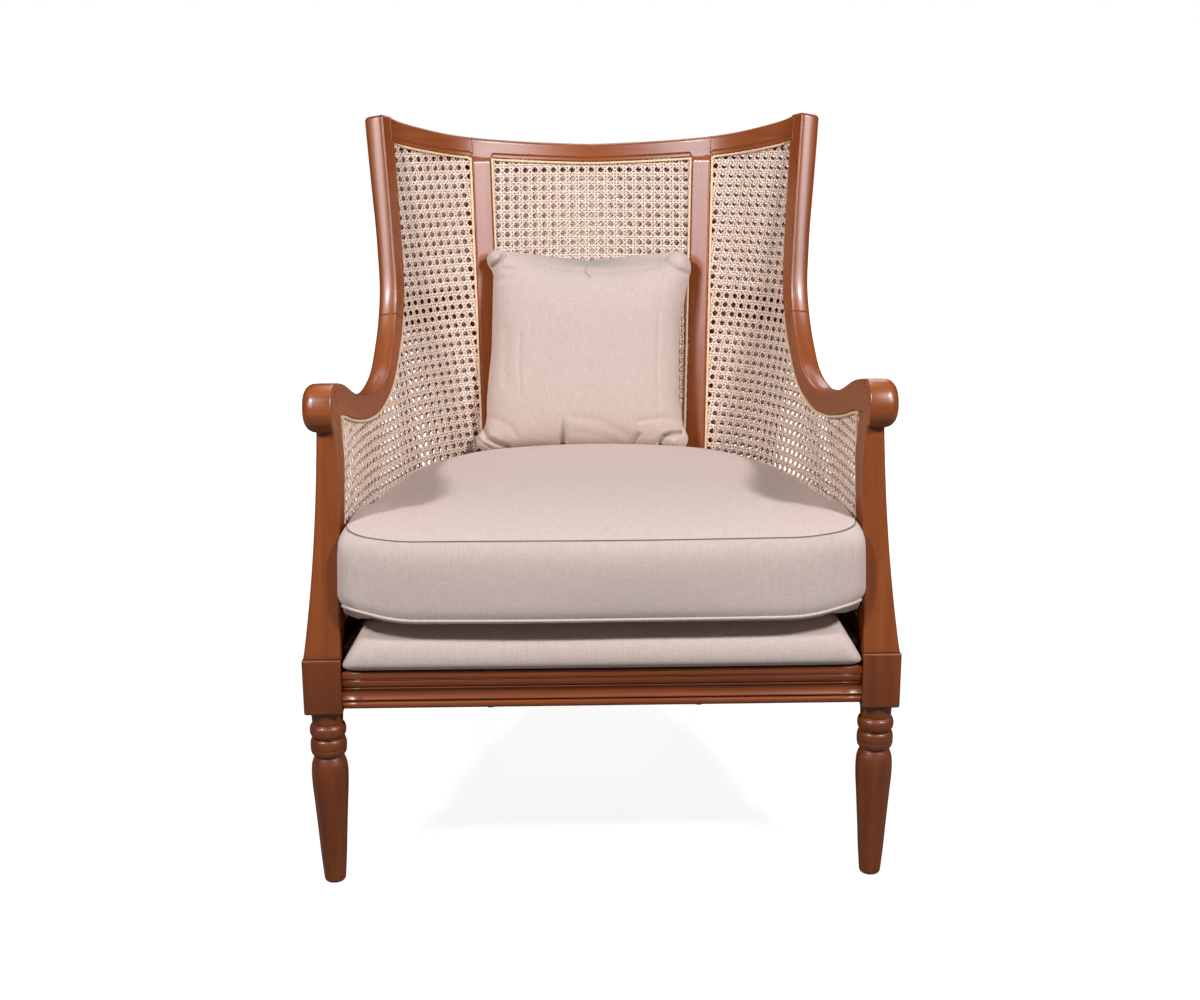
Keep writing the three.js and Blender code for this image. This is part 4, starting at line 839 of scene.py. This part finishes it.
def side_outline(grow, out):
    """The edge of the right bay: along the foot to the arm post, up it, back along the arm and the wing,
    along the crest and down the stile."""
    low = panel_low - grow
    arm_way, arm_z = arm_edge(np.linspace(0.935, corner_station, arm_count), grow, out)
    front_z = np.linspace(low, arm_z[0], front_count)
    front = way_at_depth(post_rear(front_z) - grow, front_z)
    side_z = np.linspace(float(crest_under(stile_way)) + grow, low, stile_count)
    stile = stile_edge(side_z, 1, grow, out)
    over = np.linspace(arm_way[-1], stile[0], head_count)
    return joined((np.linspace(stile[-1], front[0], foot_count), low), (front, front_z), (arm_way, arm_z),
                  (over, crest_under(over) + grow), (stile, side_z))


# %% Woven sheets
pitch_across, pitch_up = 14.6, 13.6
strand_half, slit_up, slit_across, strand_thick = 1.55, 1.0, 0.6, 0.6
pair_swing, diagonal_swing, strand_wander = 0.26, 0.5, 0.1
chart_rows, chart_ways, chart_places, past_edge = 60, 700, 900, 20
ribbon = ((-strand_half, -0.5), (strand_half, -0.5), (0.0, 0.5))


def inside(points, polygon):
    """Which points lie inside a polygon: an odd number of its sides lies to their right."""
    x, y = points[:, 0:1], points[:, 1:2]
    x0, y0 = polygon[:, 0], polygon[:, 1]
    x1, y1 = np.roll(x0, -1), np.roll(y0, -1)
    crosses = (y0 > y) != (y1 > y)
    with np.errstate(divide="ignore", invalid="ignore"):
        at = x0 + (y - y0) * (x1 - x0) / (y1 - y0)
    return (crosses & (x < at)).sum(1) % 2 == 1


def wall_chart(way_low, way_high, anchor, out):
    """Tables that turn a way and a height into millimetres along the wall from an anchor, and back."""
    z_rows = np.linspace(320, 962, chart_rows)
    ways = np.linspace(way_low, way_high, chart_ways)
    across = np.empty((chart_rows, chart_ways))
    for row, z in enumerate(z_rows):
        run = lengths(wall_point(ways, z, out))
        across[row] = run - np.interp(anchor, ways, run)
    places = np.linspace(across.min(), across.max(), chart_places)
    back = np.stack([np.interp(places, row, ways) for row in across])

    def look(table, columns, value, z):
        """A value between the rows and columns of a table."""
        r = np.clip((z - z_rows[0]) / (z_rows[1] - z_rows[0]), 0, chart_rows - 1.001)
        c = np.clip((value - columns[0]) / (columns[1] - columns[0]), 0, len(columns) - 1.001)
        i, j = r.astype(int), c.astype(int)
        fr, fc = r - i, c - j
        upper = table[i, j] * (1 - fc) + table[i, j + 1] * fc
        lower = table[i + 1, j] * (1 - fc) + table[i + 1, j + 1] * fc
        return upper * (1 - fr) + lower * fr

    return lambda way, z: look(across, ways, way, z), lambda c, z: look(back, places, c, z)


def strands(box, phase):
    """The centre lines of all strands over a box of the chart, each as points (across, up, depth) with
    its direction. Depth swings with the weave: over at one crossing and under at the next."""
    a0, a1, b0, b1 = box
    groups = []
    columns = np.arange(math.floor(a0 / pitch_across) - 1, math.ceil(a1 / pitch_across) + 2)
    rows = np.arange(math.floor(b0 / pitch_up) - 1, math.ceil(b1 / pitch_up) + 2)
    apart_up, apart_across = strand_half + slit_up / 2, strand_half + slit_across / 2
    for level, lines, cells, line_pitch, cell_pitch, apart, cross in (
            (0, columns, rows, pitch_across, pitch_up, apart_up, apart_across),
            (1, rows, columns, pitch_up, pitch_across, apart_across, apart_up)):
        for which in (0, 1):
            at = (lines[:, None] + 0.5) * line_pitch + (2 * which - 1) * apart
            steps = np.array([-cell_pitch / 2 + 2.4, 0.0, cell_pitch / 2 - cross, cell_pitch / 2 + cross])
            path = (cells[:, None] * cell_pitch + steps).ravel()
            over = (which + lines[:, None, None] + cells[None, :, None]) % 2 * 2 - 1
            swing = pair_swing * (1 - 2 * level)
            depth = (over * np.array([0, 0, swing, -swing])).reshape(len(lines), -1)
            place = (path, at) if level else (at, path)
            groups.append((np.stack(spread(*place, depth), -1), np.array([level, 1 - level])))
    direction = np.array([pitch_across, pitch_up]) / math.hypot(pitch_across, pitch_up)
    lines = np.arange(columns[0] - len(rows) - 1, columns[-1] + len(rows) + 2)[:, None]
    t = rows[0] + np.arange(len(rows) * 6 + 1) / 6.0
    swing = diagonal_swing * np.resize([1.0, 0.75, -0.75, -1.0, -0.75, 0.75], len(t))
    for side in (1, -1):
        across = (lines + 0.5 + side * t) * pitch_across
        groups.append((np.stack(spread(across, t * pitch_up, side * swing), -1), direction * (side, 1)))
    return [(lines + (*phase, 0), way) for lines, way in groups]


def woven(outline, chart, out, face, phase, seed, turn):
    """A sheet of cane: each strand is a ribbon with a crowned face, kept where it lies inside the bay.
    face is -1 where the crown looks at the seat and 1 where it looks away."""
    to_chart, to_way = chart
    way, z = outline
    polygon = np.column_stack([to_chart(way, z), z])
    pivot = polygon.mean(0)
    (a0, b0), (a1, b1) = (polygon - pivot).min(0) - past_edge, (polygon - pivot).max(0) + past_edge
    random = np.random.default_rng(seed)
    skins, tones = [], []
    for lines, direction in strands((a0, a1, b0, b1), phase):
        side = np.array([direction[1], -direction[0]])
        lines[..., :2] += random.normal(0, strand_wander, lines[..., :2].shape)
        k, n = lines.shape[:2]
        tone = np.broadcast_to(random.uniform(0.4, 0.75, (k, 1)), (k, n))
        ok = inside(lines[..., :2].reshape(-1, 2) + pivot, polygon).reshape(k, n)
        keep = ok[:, 1:] & ok[:, :-1]
        before, after = np.pad(keep, ((0, 0), (1, 0))), np.pad(keep, ((0, 0), (0, 1)))
        used = np.repeat(before | after, 3)
        number = np.full(used.shape, -1)
        number[used] = np.arange(used.sum())
        number = number.reshape(k, n, 3)
        plan = np.stack([lines[..., :2] + side * aside for aside, _ in ribbon], 2).reshape(-1, 2)
        deep = np.stack([lines[..., 2] + strand_thick * high for _, high in ribbon], 2).ravel()
        spot, level = plan[used] + pivot, deep[used]
        points = wall_point(to_way(spot[:, 0], spot[:, 1]), spot[:, 1], out + face * level)
        here, there = number[:, :-1], number[:, 1:]
        p, q = here[keep], there[keep]
        quads = np.vstack([
            np.stack([p[:, a], p[:, b], q[:, b], q[:, a]], -1) for a, b in ((0, 1), (1, 2), (2, 0))
        ])
        caps = np.vstack([here[keep & ~before[:, :-1]][:, ::-1], there[keep & ~after[:, 1:]]])
        skin = (points, *facing_out(points, quads, caps), np.column_stack([spot, level]))
        skins.append(skin if turn > 0 else mirrored(skin))
        tones.append(np.repeat(tone, 3)[used])
    return skins, np.concatenate(tones)


# Each bay has its mirror side, its outline, the ends and the anchor of its chart, and its strands' seed.
bays = {
    "middle": (1, middle_outline, (-0.2, 0.2, 0.0), 11),
    "right": (1, side_outline, (0.12, 1.0, 0.95), 13),
    "left": (-1, side_outline, (0.12, 1.0, 0.95), 11),
}
# How far the weave of each bay is shifted across and up, in each of the two layers.
inner_phases, outer_phases = ((0.0, 2.0), (3.0, 2.0), (3.0, 2.0)), ((4.0, 6.5), (-3.5, 5.5), (3.5, 7.5))
for layer, out, face, finish, phases in (
        ("inner", 3.9, -1, cane, inner_phases), ("outer", 26.1, 1, outer_cane_painted_light, outer_phases)):
    for (side, (turn, outline, reach, seed)), phase in zip(bays.items(), phases):
        skins, tone = woven(outline(1.0, out), wall_chart(*reach, out), out, face, phase, seed, turn)
        node = f"cane_{layer}_{side}"
        sheet = put(f"cane_weave_{layer}_{side}", skins, finish, node, extra={"tone": tone})
        print(sheet.name, "faces", len(sheet.data.polygons))

# %% Splines
spline_clear, spline_wide, spline_thick = 0.9, 3.6, 1.9
arch = np.array([
    (0, -0.8), (0, 0.35), (0.12, 0.75), (0.32, 0.95), (0.5, 1), (0.68, 0.95), (0.88, 0.75), (1, 0.35),
    (1, -0.8),
])


def spline(outline, out, face, turn):
    """A strip of cane pressed over the edge of a sheet: between two outlines, one inside the other, its
    top is a low arch. It narrows to nothing up the wing, where the bar covers it."""
    near, far = (outline(-spline_clear - wide, out) for wide in (0, spline_wide))
    wide = np.ones(len(near[0]))
    if outline is side_outline:
        start = foot_count + front_count - 2
        stop = start + arm_count - 1
        wide[start:stop] = 1 - 0.97 * eased(near[1][start:stop], 640, 690)
        wide[stop:stop + 5] = np.linspace(0.1, 0.9, 5)
    rings = []
    for share, high in arch:
        way, z = (a * (1 - share * wide) + b * share * wide for a, b in zip(near, far))
        rings.append(wall_point(way, z, out + face * high * wide * spline_thick))
    rings = np.stack(rings, 1)
    run = np.broadcast_to(lengths(rings[:, 0])[:, None], rings.shape[:2])
    part = shell(rings, np.stack([run * 0, run * 0, run], -1), wrap=True)
    return part if turn > 0 else mirrored(part)


for layer, out, face in (("inner", 2.2, -1), ("outer", 27.8, 1)):
    for side, (turn, outline, *_) in bays.items():
        part = spline(outline, out, face, turn)
        tone = np.full(len(part[0]), 0.6)
        node = f"cane_spline_{layer}_{side}"
        put(f"spline_strip_{layer}_{side}", [part], spline_cane, node, extra={"tone": tone})

# %% [markdown]
# ## Upholstery
# The deck is a padded platform on webbing. The seat cushion is boxed: a crowned top and upright sides, with
# a plain seam in a groove above and a welt along the seam below. The scatter cushion is two panels sewn edge
# to edge, with drawn out corners.

# %% Plan outlines of the soft parts


def plan_outline(z, set_in, front_y, radius, swell, counts=(70, 16, 40)):
    """A closed line inside the wall: round the back along the wall, round a corner of the given radius,
    and across the front with a slight swell."""
    start = min(float(way_at_depth(front_y + radius, z)), 1.0) if front_y + radius >= 0 else 1.0
    ways = start * np.linspace(0, 1, counts[0] + 1)
    right = wall_point(ways, z, -set_in)
    side = right[-1]
    angle = np.pi / 2 * np.arange(1, counts[1] + 1) / counts[1]
    corner = np.column_stack([
        side[0] - radius * (1 - np.cos(angle)), front_y + (side[1] - front_y) * (1 - np.sin(angle)),
        np.full(len(angle), z),
    ])
    share = np.arange(1, counts[2] + 1) / counts[2]
    front = np.column_stack([
        corner[-1, 0] * (1 - share), front_y - swell * np.sin(np.pi / 2 * share), np.full(len(share), z),
    ])
    right = np.vstack([right, corner, front])
    return np.vstack([right, right[1:-1][::-1] * (-1, 1, 1)])


def closing(outline, centre_y, shares, rises=0):
    """Rings that close an outline towards its middle, level or at the given heights above it."""
    x, y, z = outline.T
    return [np.column_stack([x * share, centre_y + (y - centre_y) * share, z + rise])
            for share, rise in zip(*spread(shares, rises))]


deck_lean, deck_centre, cushion_centre, cover_centre = 31, 240, 250, 260


def deck():
    """The padded platform: the cloth is drawn in over the front corners, so its sides lean in by thirty
    millimetres. Its front bulges over the rail and then rolls back under the cushion."""
    z = np.array([
        291.4, 291.8, 292.6, 294, 296, 299, 303, 309, 316, 323, 330, 336, 341, 345, 347.6, 349.2, 349.9,
    ])
    lean = deck_lean * np.clip((z - 297) / 53, 0, 1) ** 1.1
    foot, head = np.clip((298 - z) / 6.6, 0, 1), np.clip((z - 341) / 8.9, 0, 1)
    rounding = 6 * (1 - np.sqrt(1 - foot**2)) + 8 * (1 - np.sqrt(1 - head**2))
    front = np.interp(z, (291.4, 293, 296, 300, 306, 316, 326, 331, 336, 341, 349.9),
                      (4, 0.5, -3, -5.5, -6.2, -4.5, -0.5, 3.5, 9, 16, 30))
    rings = [plan_outline(h, 1.8 + a + r, f, 14, 1.0) for h, a, r, f in zip(z, lean, rounding, front)]
    shares = np.array([0.985, 0.95, 0.85, 0.65, 0.4, 0.15])
    under, over = closing(rings[0], deck_centre, shares[::-1]), closing(rings[-1], deck_centre, shares)
    rings = np.stack(under + rings + over)
    return shell(rings, rings)


def deck_edge():
    """The cloth that is drawn over the seat rails and shows between them and the panel rails."""
    rear = float(way_at_depth(56.0, level_low))
    return rail(-rear, rear, 260, -6.0, 27.0, 290.2, 305.6, (3, 5, 5, 3))


put("deck_pad", [deck(), deck_edge()], linen, "seat_deck")

# %% Seat cushion
seam_low, seam_high, crown_high = 358.0, 459.0, 24.0
corner_lift, corner_out, welt_radius = 19.0, 8.0, 2.0


def pulled_corners(points):
    """In front of the posts the cushion swells outward by up to corner_out, and its lower edge is drawn up
    towards the front corners by up to corner_lift, less and less towards the upper seam. That seam rises
    along the sides as a bell of the depth, behind the arm posts."""
    x, y, z = points[..., 0], points[..., 1], points[..., 2]
    forward = eased(30 - y, 0, 40)
    low = np.clip((seam_high - z) / (seam_high - seam_low), 0, 1)
    sides = eased(np.abs(x), 215, 322) ** 1.4
    lift = (3.5 + corner_lift * sides) * forward * low
    wave = 0.7 * np.sin(x / 47 + 0.6) * np.sin(z / 31) * forward
    top = 1 - np.clip(4 * low, 0, 1)
    reach = eased((4 + 66 * top - y) / (11 + 69 * top), 0, 1)
    swollen = np.sign(x) * corner_out * reach * eased(np.abs(x), 150, 290)
    ridge = 10 * eased(150 - y, 0, 150) + 18 * np.exp(-((y - 80) / 62) ** 2)
    return np.stack([x + swollen, y - wave, z + lift + ridge * sides * (1 - low)], -1)


def cushion_ring(z, set_in, swell):
    """One level ring of the cushion."""
    return plan_outline(z, set_in, -18.0 + 0.6 * (set_in - 1.5), 30, swell)


def seat_cushion():
    """The boxed cushion: upright sides that curve in to a seam above and below, a foot that is drawn in,
    and a top that rises from the seam as a flat arch. The upper seam lies in a narrow groove."""
    z = np.array([
        350.4, 350.6, 351.4, 353, 355, 356.6, 358, 359.4, 362, 366, 371, 378, 390, 403, 416, 429, 440, 447,
        452, 455.4, 457.4, 458.3, 458.9, 459.6, 460.2,
    ])
    set_in = 1.5 + 5.0 * np.clip((373 - z) / 15, 0, 1) ** 2 + 12.5 * np.clip((z - 427) / 32, 0, 1) ** 2.4
    set_in = np.where(z < 356, 6.5 + 14 * ((356 - z) / 5.6) ** 1.5, set_in)
    set_in[-4:] += (0.0, 2.4, 0.6, 1.2)
    swell = 5.0 + 3.5 * np.sin(np.pi * np.clip((z - seam_low) / 101, 0, 1)) ** 0.7
    swell[z < 356] -= 2.5
    rings = [cushion_ring(h, s, w) for h, s, w in zip(z, set_in, swell)]
    low_shares = np.array([0.1, 0.4, 0.7, 0.9, 0.97])
    share = np.sin(np.linspace(0.5, 0.01, 40) * np.pi)[1:]
    rise = crown_high * (1 - share**4.4)
    under = closing(rings[0], cushion_centre, low_shares)
    rings = pulled_corners(np.stack(under + rings + closing(rings[-1], cushion_centre, share, rise)))
    # Painted shade: the two rings at the bottom of the upper seam's groove are darkened.
    dark = np.zeros(rings.shape[:2])
    dark[len(low_shares) + len(z) - 3] = 1
    dark[len(low_shares) + len(z) - 4] = 0.6
    return shell(rings, rings), np.append(dark.ravel(), (0, 0))


def welt():
    """The cord along the lower seam: a round section carried round the seam's line."""
    line = pulled_corners(cushion_ring(seam_low - 0.8, 6.0, 5.0))
    along = unit(np.roll(line, -1, 0) - np.roll(line, 1, 0))
    side = unit(np.cross(along, (0, 0, 1.0)))
    over = np.cross(side, along)
    angle = np.linspace(0, 2 * np.pi, 12, endpoint=False)[:, None]
    rings = line[:, None] + welt_radius * (np.cos(angle) * side[:, None] + np.sin(angle) * over[:, None])
    return shell(rings, rings, wrap=True)


cushion_part, cushion_groove_shade = seat_cushion()
welt_part = welt()
cushion_painted_shade = np.append(cushion_groove_shade, np.zeros(len(welt_part[0])))
# The linen reads the painted shade of the seam groove from this point attribute.
put("boxed_cushion", [cushion_part, welt_part], linen, "seat_cushion", body="seat_cushion",
    extra={"painted_seam_shade": cushion_painted_shade})
print("cushion points", len(cushion_part[0]), "welt points", len(welt_part[0]))

# %% Scatter cushion
scatter_centre = np.array([-9.0, 520.0, 620.9])
scatter_lean, scatter_thick = math.radians(12.5), 92.0
left_side = np.array([
    (-1, -166), (-0.95, -171.5), (-0.88, -167), (-0.8, -156), (-0.7, -153), (-0.5, -152.5), (-0.3, -149.5),
    (0, -144.5), (0.5, -142), (0.72, -141), (0.8, -140.5), (0.87, -148), (0.94, -151.5), (1, -146),
])
right_side = np.array([
    (-1, 146), (-0.95, 151), (-0.88, 150), (-0.8, 143.5), (-0.5, 137.5), (0, 137.5), (0.3, 139.5),
    (0.5, 145.5), (0.7, 151.5), (0.85, 157.5), (0.95, 156), (1, 151),
])
foot_side = np.array([
    (-1, -154), (-0.95, -160), (-0.88, -161.5), (-0.8, -158.5), (-0.5, -156), (0, -156), (0.5, -156.5),
    (0.75, -159), (0.88, -162), (0.95, -161.5), (1, -156),
])
head_side = np.array([
    (-1, 135), (-0.95, 141), (-0.85, 140), (-0.7, 131), (-0.5, 120), (-0.25, 111), (0, 107), (0.3, 107),
    (0.58, 111), (0.7, 116), (0.79, 131), (0.88, 138), (0.95, 136.5), (1, 129),
])
# Each crease is a line of places, its width, how deep it is cut and how much painted shade it gets.
creases = [
    ([(-156, -129), (-150, -142), (-138, -149), (-120, -155)], 3.4, 9.0, 0.3),
    ([(-166, -142), (-158, -150), (-146, -157)], 2.4, 3.0, 0.25),
    ([(-124, 131), (-131, 121), (-142, 114)], 3.4, 7.0, 0.25),
    ([(-136, 133), (-141, 127)], 2.4, 2.0, 0.15),
    ([(-3, 107), (4, 97)], 1.8, 2.4, 0.4),
    ([(110, -159), (106, -150), (113, -141), (124, -138), (138, -137)], 3.2, 9.0, 0.3),
    ([(113, -142), (120, -139.5)], 1.8, 2.0, 0.5),
    ([(74, -140), (64, -155)], 4.0, 5.0, 0.15),
    ([(-100, 12), (-103, -30), (-101, -80)], 3.0, 1.5, 0.0),
    ([(106, 42), (103, -60), (104, -122)], 3.0, 1.5, 0.0),
    ([(-122, 20), (-124, -60)], 6.0, 1.5, 0.0),
    ([(-25, -110), (22, -121), (62, -142), (74, -150)], 6.0, 1.2, 0.0),
    ([(-22, -134), (10, -139), (36, -149)], 5.0, 0.9, 0.0),
    ([(74, -119), (112, -114), (146, -118)], 4.5, 1.5, 0.0),
    ([(-140, 92), (-122, 96), (-96, 118)], 5.0, 2.4, 0.0),
    ([(-124, 110), (-96, 106)], 4.0, 1.8, 0.0),
    ([(112, 132), (118, 118), (134, 106), (156, 100)], 4.5, 3.6, 0.05),
    ([(-140, -112), (-118, -124), (-108, -138)], 5.0, 1.4, 0.0),
]
pleat_x, pleat_top, pleat_foot, pleat_deep = -37.6, -109.0, -158.0, 8
scatter_rows = 191
# Each bulb is a place across and up, its width and how far it stands out.
bulbs = [(-161, -147, 11, 9.0), (128, -151, 12, 10.0), (-140, 131, 11, 8.0), (142, 124, 15, 6.0)]


def side_line(knots, at):
    """A side of the pillow: the mean of nine points of a broken line, which rounds its corners."""
    return np.mean([np.interp(at + shift, *knots.T) for shift in np.linspace(-0.035, 0.035, 9)], 0)


def from_line(x, z, points):
    """The distance of each place from a broken line."""
    nearest = np.full(x.shape, 1e9)
    for (x0, z0), (x1, z1) in zip(points[:-1], points[1:]):
        t = np.clip(((x - x0) * (x1 - x0) + (z - z0) * (z1 - z0)) / ((x1 - x0) ** 2 + (z1 - z0) ** 2), 0, 1)
        nearest = np.minimum(nearest, np.hypot(x - x0 - t * (x1 - x0), z - z0 - t * (z1 - z0)))
    return nearest


def scatter_place(u, v, side):
    """Width and height lie between the four side lines, and the thickness is the root of a product that
    falls to the seam on all four sides. On the front, each crease is cut in by a bell of the distance from
    its line, the pleat at the foot is a bell that widens downwards, and the corner bulbs are raised by a
    bell of the distance from their middle. The creases and the pleat also get painted shade by the same
    bells, in the last value."""
    u, v = np.broadcast_arrays(u, v)
    x = side_line(left_side, v) * (1 - u) / 2 + side_line(right_side, v) * (1 + u) / 2
    z = side_line(foot_side, u) * (1 - v) / 2 + side_line(head_side, u) * (1 + v) / 2
    body = np.sqrt(np.clip((1 - u**4) * (1 - v**4), 0, 1))
    y = side * (scatter_thick * body + 2) / 2
    # dark is painted shade: the creases and the pleat are darkened by their bells.
    dark = np.zeros(x.shape)
    if side < 0:
        free = np.clip(body * 5, 0, 1)
        for points, width, deep, shade in creases:
            bell = np.exp(-((from_line(x, z, points) / width) ** 2))
            y = y + deep * bell * free
            dark = np.maximum(dark, shade * bell)
        down = np.clip((pleat_top - z) / (pleat_top - pleat_foot), 0, 1)
        bell = np.exp(-((x - pleat_x + 1.5 * down) / (0.9 + 4.6 * down)) ** 4) * np.clip(down * 6, 0, 1)
        y = y + pleat_deep * down * bell * free
        dark = np.maximum(dark, (0.25 + 0.2 * down) * bell)
        for at_x, at_z, width, high in bulbs:
            y = y - high * np.exp(-((x - at_x) ** 2 + (z - at_z) ** 2) / width**2) * free
        y = y + 0.8 * np.sin(x / 13 + z / 60) * np.sin(z / 41 + 1) * body
    return x, y, z, dark


def scatter():
    """Rings of one row of the front face and the same row of the back face, from foot to head."""
    share = np.sin(np.pi * (np.arange(scatter_rows) / (scatter_rows - 1) - 0.5))
    u, v = share[None, :], share[:, None]
    faces = [np.stack(scatter_place(u, v, side), -1) for side in (-1, 1)]
    rings = np.concatenate([faces[0], faces[1][:, ::-1]], 1)
    cos, sin = math.cos(scatter_lean), math.sin(scatter_lean)
    x, y, z, dark = np.moveaxis(rings, -1, 0)
    leant = np.stack([x, y * cos + z * sin, z * cos - y * sin], -1) + scatter_centre
    return shell(leant, rings[..., :3]), np.append(dark.ravel(), (0, 0))


# The pillow's painted crease shade goes to the linen as a point attribute.
scatter_part, scatter_crease_shade = scatter()
put("scatter_pillow", [scatter_part], linen, "scatter_cushion", body="scatter_cushion",
    extra={"painted_seam_shade": scatter_crease_shade})
print("pillow points", len(scatter_part[0]))

# %% Webbing and dust cover
strap_half, strap_level, strap_apart = 25.0, 290.1, 67.0
cover_level, cover_sag, cover_thick, leg_clear, block_clear = 244.6, 5, 0.8, 24, 319


def strap(points, across):
    """A woven strap: a thin flat section carried along a line."""
    along = unit(np.gradient(points, axis=0))
    across = np.tile(np.array(across, float), (len(points), 1))
    shape = lambda index, inset: round_section(
        -strap_half, strap_half, -0.7, 0.7, (0.5,) * 4, inset, steps=2, hold=0.15)
    return bar((points, across, np.cross(along, across), along), shape)


for number in range(4):
    x = (number - 1.5) * strap_apart
    rear = float(on_wall(way_at_width(abs(x) + strap_half, 289.0), 289.0)[1]) + 20
    line = np.column_stack(spread(x, np.linspace(13, rear, 30), strap_level))
    put(f"webbing_long_{number + 1}", [strap(line, (1, 0, 0))], jute, f"long_strap_{number + 1}")
for number in range(3):
    y = 0.4857 * foot_depth + (number - 1) * 0.219 * foot_depth
    edge = float(on_wall(way_at_depth(y + strap_half, 289.0), 289.0)[0])
    x = np.linspace(-edge - 20, edge + 20, 60)
    line = np.column_stack(spread(x, y, strap_level + 1.8 * (1 - eased(np.abs(x), 125.5, edge))))
    put(f"webbing_cross_{number + 1}", [strap(line, (0, 1, 0))], jute, f"cross_strap_{number + 1}")


def dust_cover():
    """A thin cloth under the rails, cut round the blocks and the rear legs, with a slight sag."""
    outline = plan_outline(245.0, -18, 17, 14, 0, (120, 10, 40))
    from_stile = np.abs(np.abs(outline[:, 0]) - on_wall(stile_way, 245.0)[0])
    near_leg = (outline[:, 1] > 300) & (from_stile < 26)
    toward = unit(((0, 250, 245.0) - outline) * (1, 1, 0))
    pulled = outline + leg_clear * toward * near_leg[:, None]
    at_block = pulled[:, 1] < 51
    pulled[at_block, 0] = np.clip(pulled[at_block, 0], -block_clear, block_clear)
    pulled[:, 2] = cover_level
    shares = np.array([1, 0.92, 0.8, 0.65, 0.5, 0.35, 0.2, 0.06])
    top = closing(pulled, cover_centre, shares, -cover_sag * (1 - shares**2))
    rings = np.stack(top[::-1] + [ring - (0, 0, cover_thick) for ring in top])
    return shell(rings, rings)


cover_part = dust_cover()
cover = put("dust_cloth", [cover_part], cambric, "dust_cover")
points, quads = cover_part[0], cover_part[1]
corners = points[quads]

# %% [markdown]
# ## Light, floor and camera
# Two small lamps stand high to the left and right of the camera and draw crisp shadows, a large dim lamp
# stands behind, and a dim room fills in the rest. Two cards beside the camera and one overhead show only in
# the gloss of the wood, as reflectors do.

# %% Floor, light and camera
floor_low, floor_reach = -0.0005, 15.0
corners = [(x * floor_reach, y * floor_reach, floor_low) for x, y in ((-1, -1), (1, -1), (1, 1), (-1, 1))]
floor_mesh = bpy.data.meshes.new("floor")
floor_mesh.from_pydata(corners, [], [(0, 1, 2, 3)])
floor = bpy.data.objects.new("floor", floor_mesh)
bpy.context.scene.collection.objects.link(floor)
floor_finish, tree, shader = finish_of("floor_finish")
seen = add(tree, "ShaderNodeLightPath").outputs["Is Camera Ray"]
place = add(tree, "ShaderNodeTexCoord").outputs["Object"]
away = add(tree, "ShaderNodeVectorMath", {0: place}, operation="LENGTH").outputs["Value"]
glow = add(tree, "ShaderNodeMapRange", {
    "Value": away, "From Min": 0.3, "From Max": 2.5, "To Min": 0.9, "To Max": 1.2,
}).outputs["Result"]
feed(tree, shader, {
    "Base Color": (0.22, 0.22, 0.22, 1), "Roughness": 0.9, "Specular IOR Level": 0.1,
    "Emission Color": (1, 1, 1, 1), "Emission Strength": reckon(tree, "MULTIPLY", seen, glow),
})
floor_mesh.materials.append(floor_finish)

# The camera sees a white room, and the chair gets a dim and slightly warm light from it.
world = bpy.data.worlds.new("room")
bpy.context.scene.world = world
world.use_nodes = True
tree = world.node_tree
seen = add(tree, "ShaderNodeLightPath").outputs["Is Camera Ray"]
level, green, blue = (reckon(tree, "MULTIPLY_ADD", seen, 1 - dim, dim) for dim in (0.07, 0.82, 0.7))
warm = add(tree, "ShaderNodeCombineColor", {"Red": 1.0, "Green": green, "Blue": blue}).outputs["Color"]
feed(tree, tree.nodes["Background"], {"Color": warm, "Strength": level})


def lamp(name, place, target, size, power, card=None):
    """A square lamp that looks at a target. With a card's colour it shows only in gloss."""
    light = bpy.data.lights.new(name, "AREA")
    light.shape, light.size, light.energy = "SQUARE", size, power
    thing = bpy.data.objects.new(name, light)
    thing.location = place
    thing.rotation_mode = "QUATERNION"
    thing.rotation_quaternion = (Vector(target) - Vector(place)).to_track_quat("-Z", "Y")
    bpy.context.scene.collection.objects.link(thing)
    if card:
        light.color, thing.visible_diffuse = card, False


lamp("lamp_left", (-1.66, -1.84, 2.48), (0, 0, 0.5), 0.28, 58)
lamp("lamp_right", (1.66, -1.84, 2.48), (0, 0, 0.5), 0.28, 69)
lamp("lamp_behind", (0.5, 2.5, 2.1), (0, 0.3, 0.5), 1.6, 26)
lamp("card_over", (0, 0.8, 2.45), (0, 0.1, 0.6), 1.3, 15, (0.9, 0.97, 1.06))
lamp("card_left", (-1.36, -1.46, 1.53), (0, 0.25, 0.85), 0.95, 28, (0.86, 0.97, 1.08))
lamp("card_right", (1.36, -1.46, 1.53), (0, 0.25, 0.85), 0.95, 28, (0.86, 0.97, 1.08))

# The camera's turn, its downward tilt and its roll are those of the photograph.
yaw, pitch, roll_angle = (math.radians(v) for v in (1.2, 13.8, -0.3))
camera_place, focal_length = (-0.0401, -2.117267, 0.9474), 46.386
forward = Vector((math.sin(yaw) * math.cos(pitch), math.cos(yaw) * math.cos(pitch), -math.sin(pitch)))
level_right = Vector((math.cos(yaw), -math.sin(yaw), 0))
level_up = level_right.cross(forward)
right = level_right * math.cos(roll_angle) + level_up * math.sin(roll_angle)
up = level_up * math.cos(roll_angle) - level_right * math.sin(roll_angle)
camera_data = bpy.data.cameras.new("camera")
camera_data.sensor_width, camera_data.sensor_fit, camera_data.lens = 36.0, "HORIZONTAL", focal_length
camera = bpy.data.objects.new("camera", camera_data)
camera.matrix_world = Matrix((
    *((right[k], up[k], -forward[k], camera_place[k]) for k in range(3)), (0, 0, 0, 1),
))
bpy.context.scene.collection.objects.link(camera)
bpy.context.scene.camera = camera
bpy.context.scene.view_settings.view_transform = "Standard"
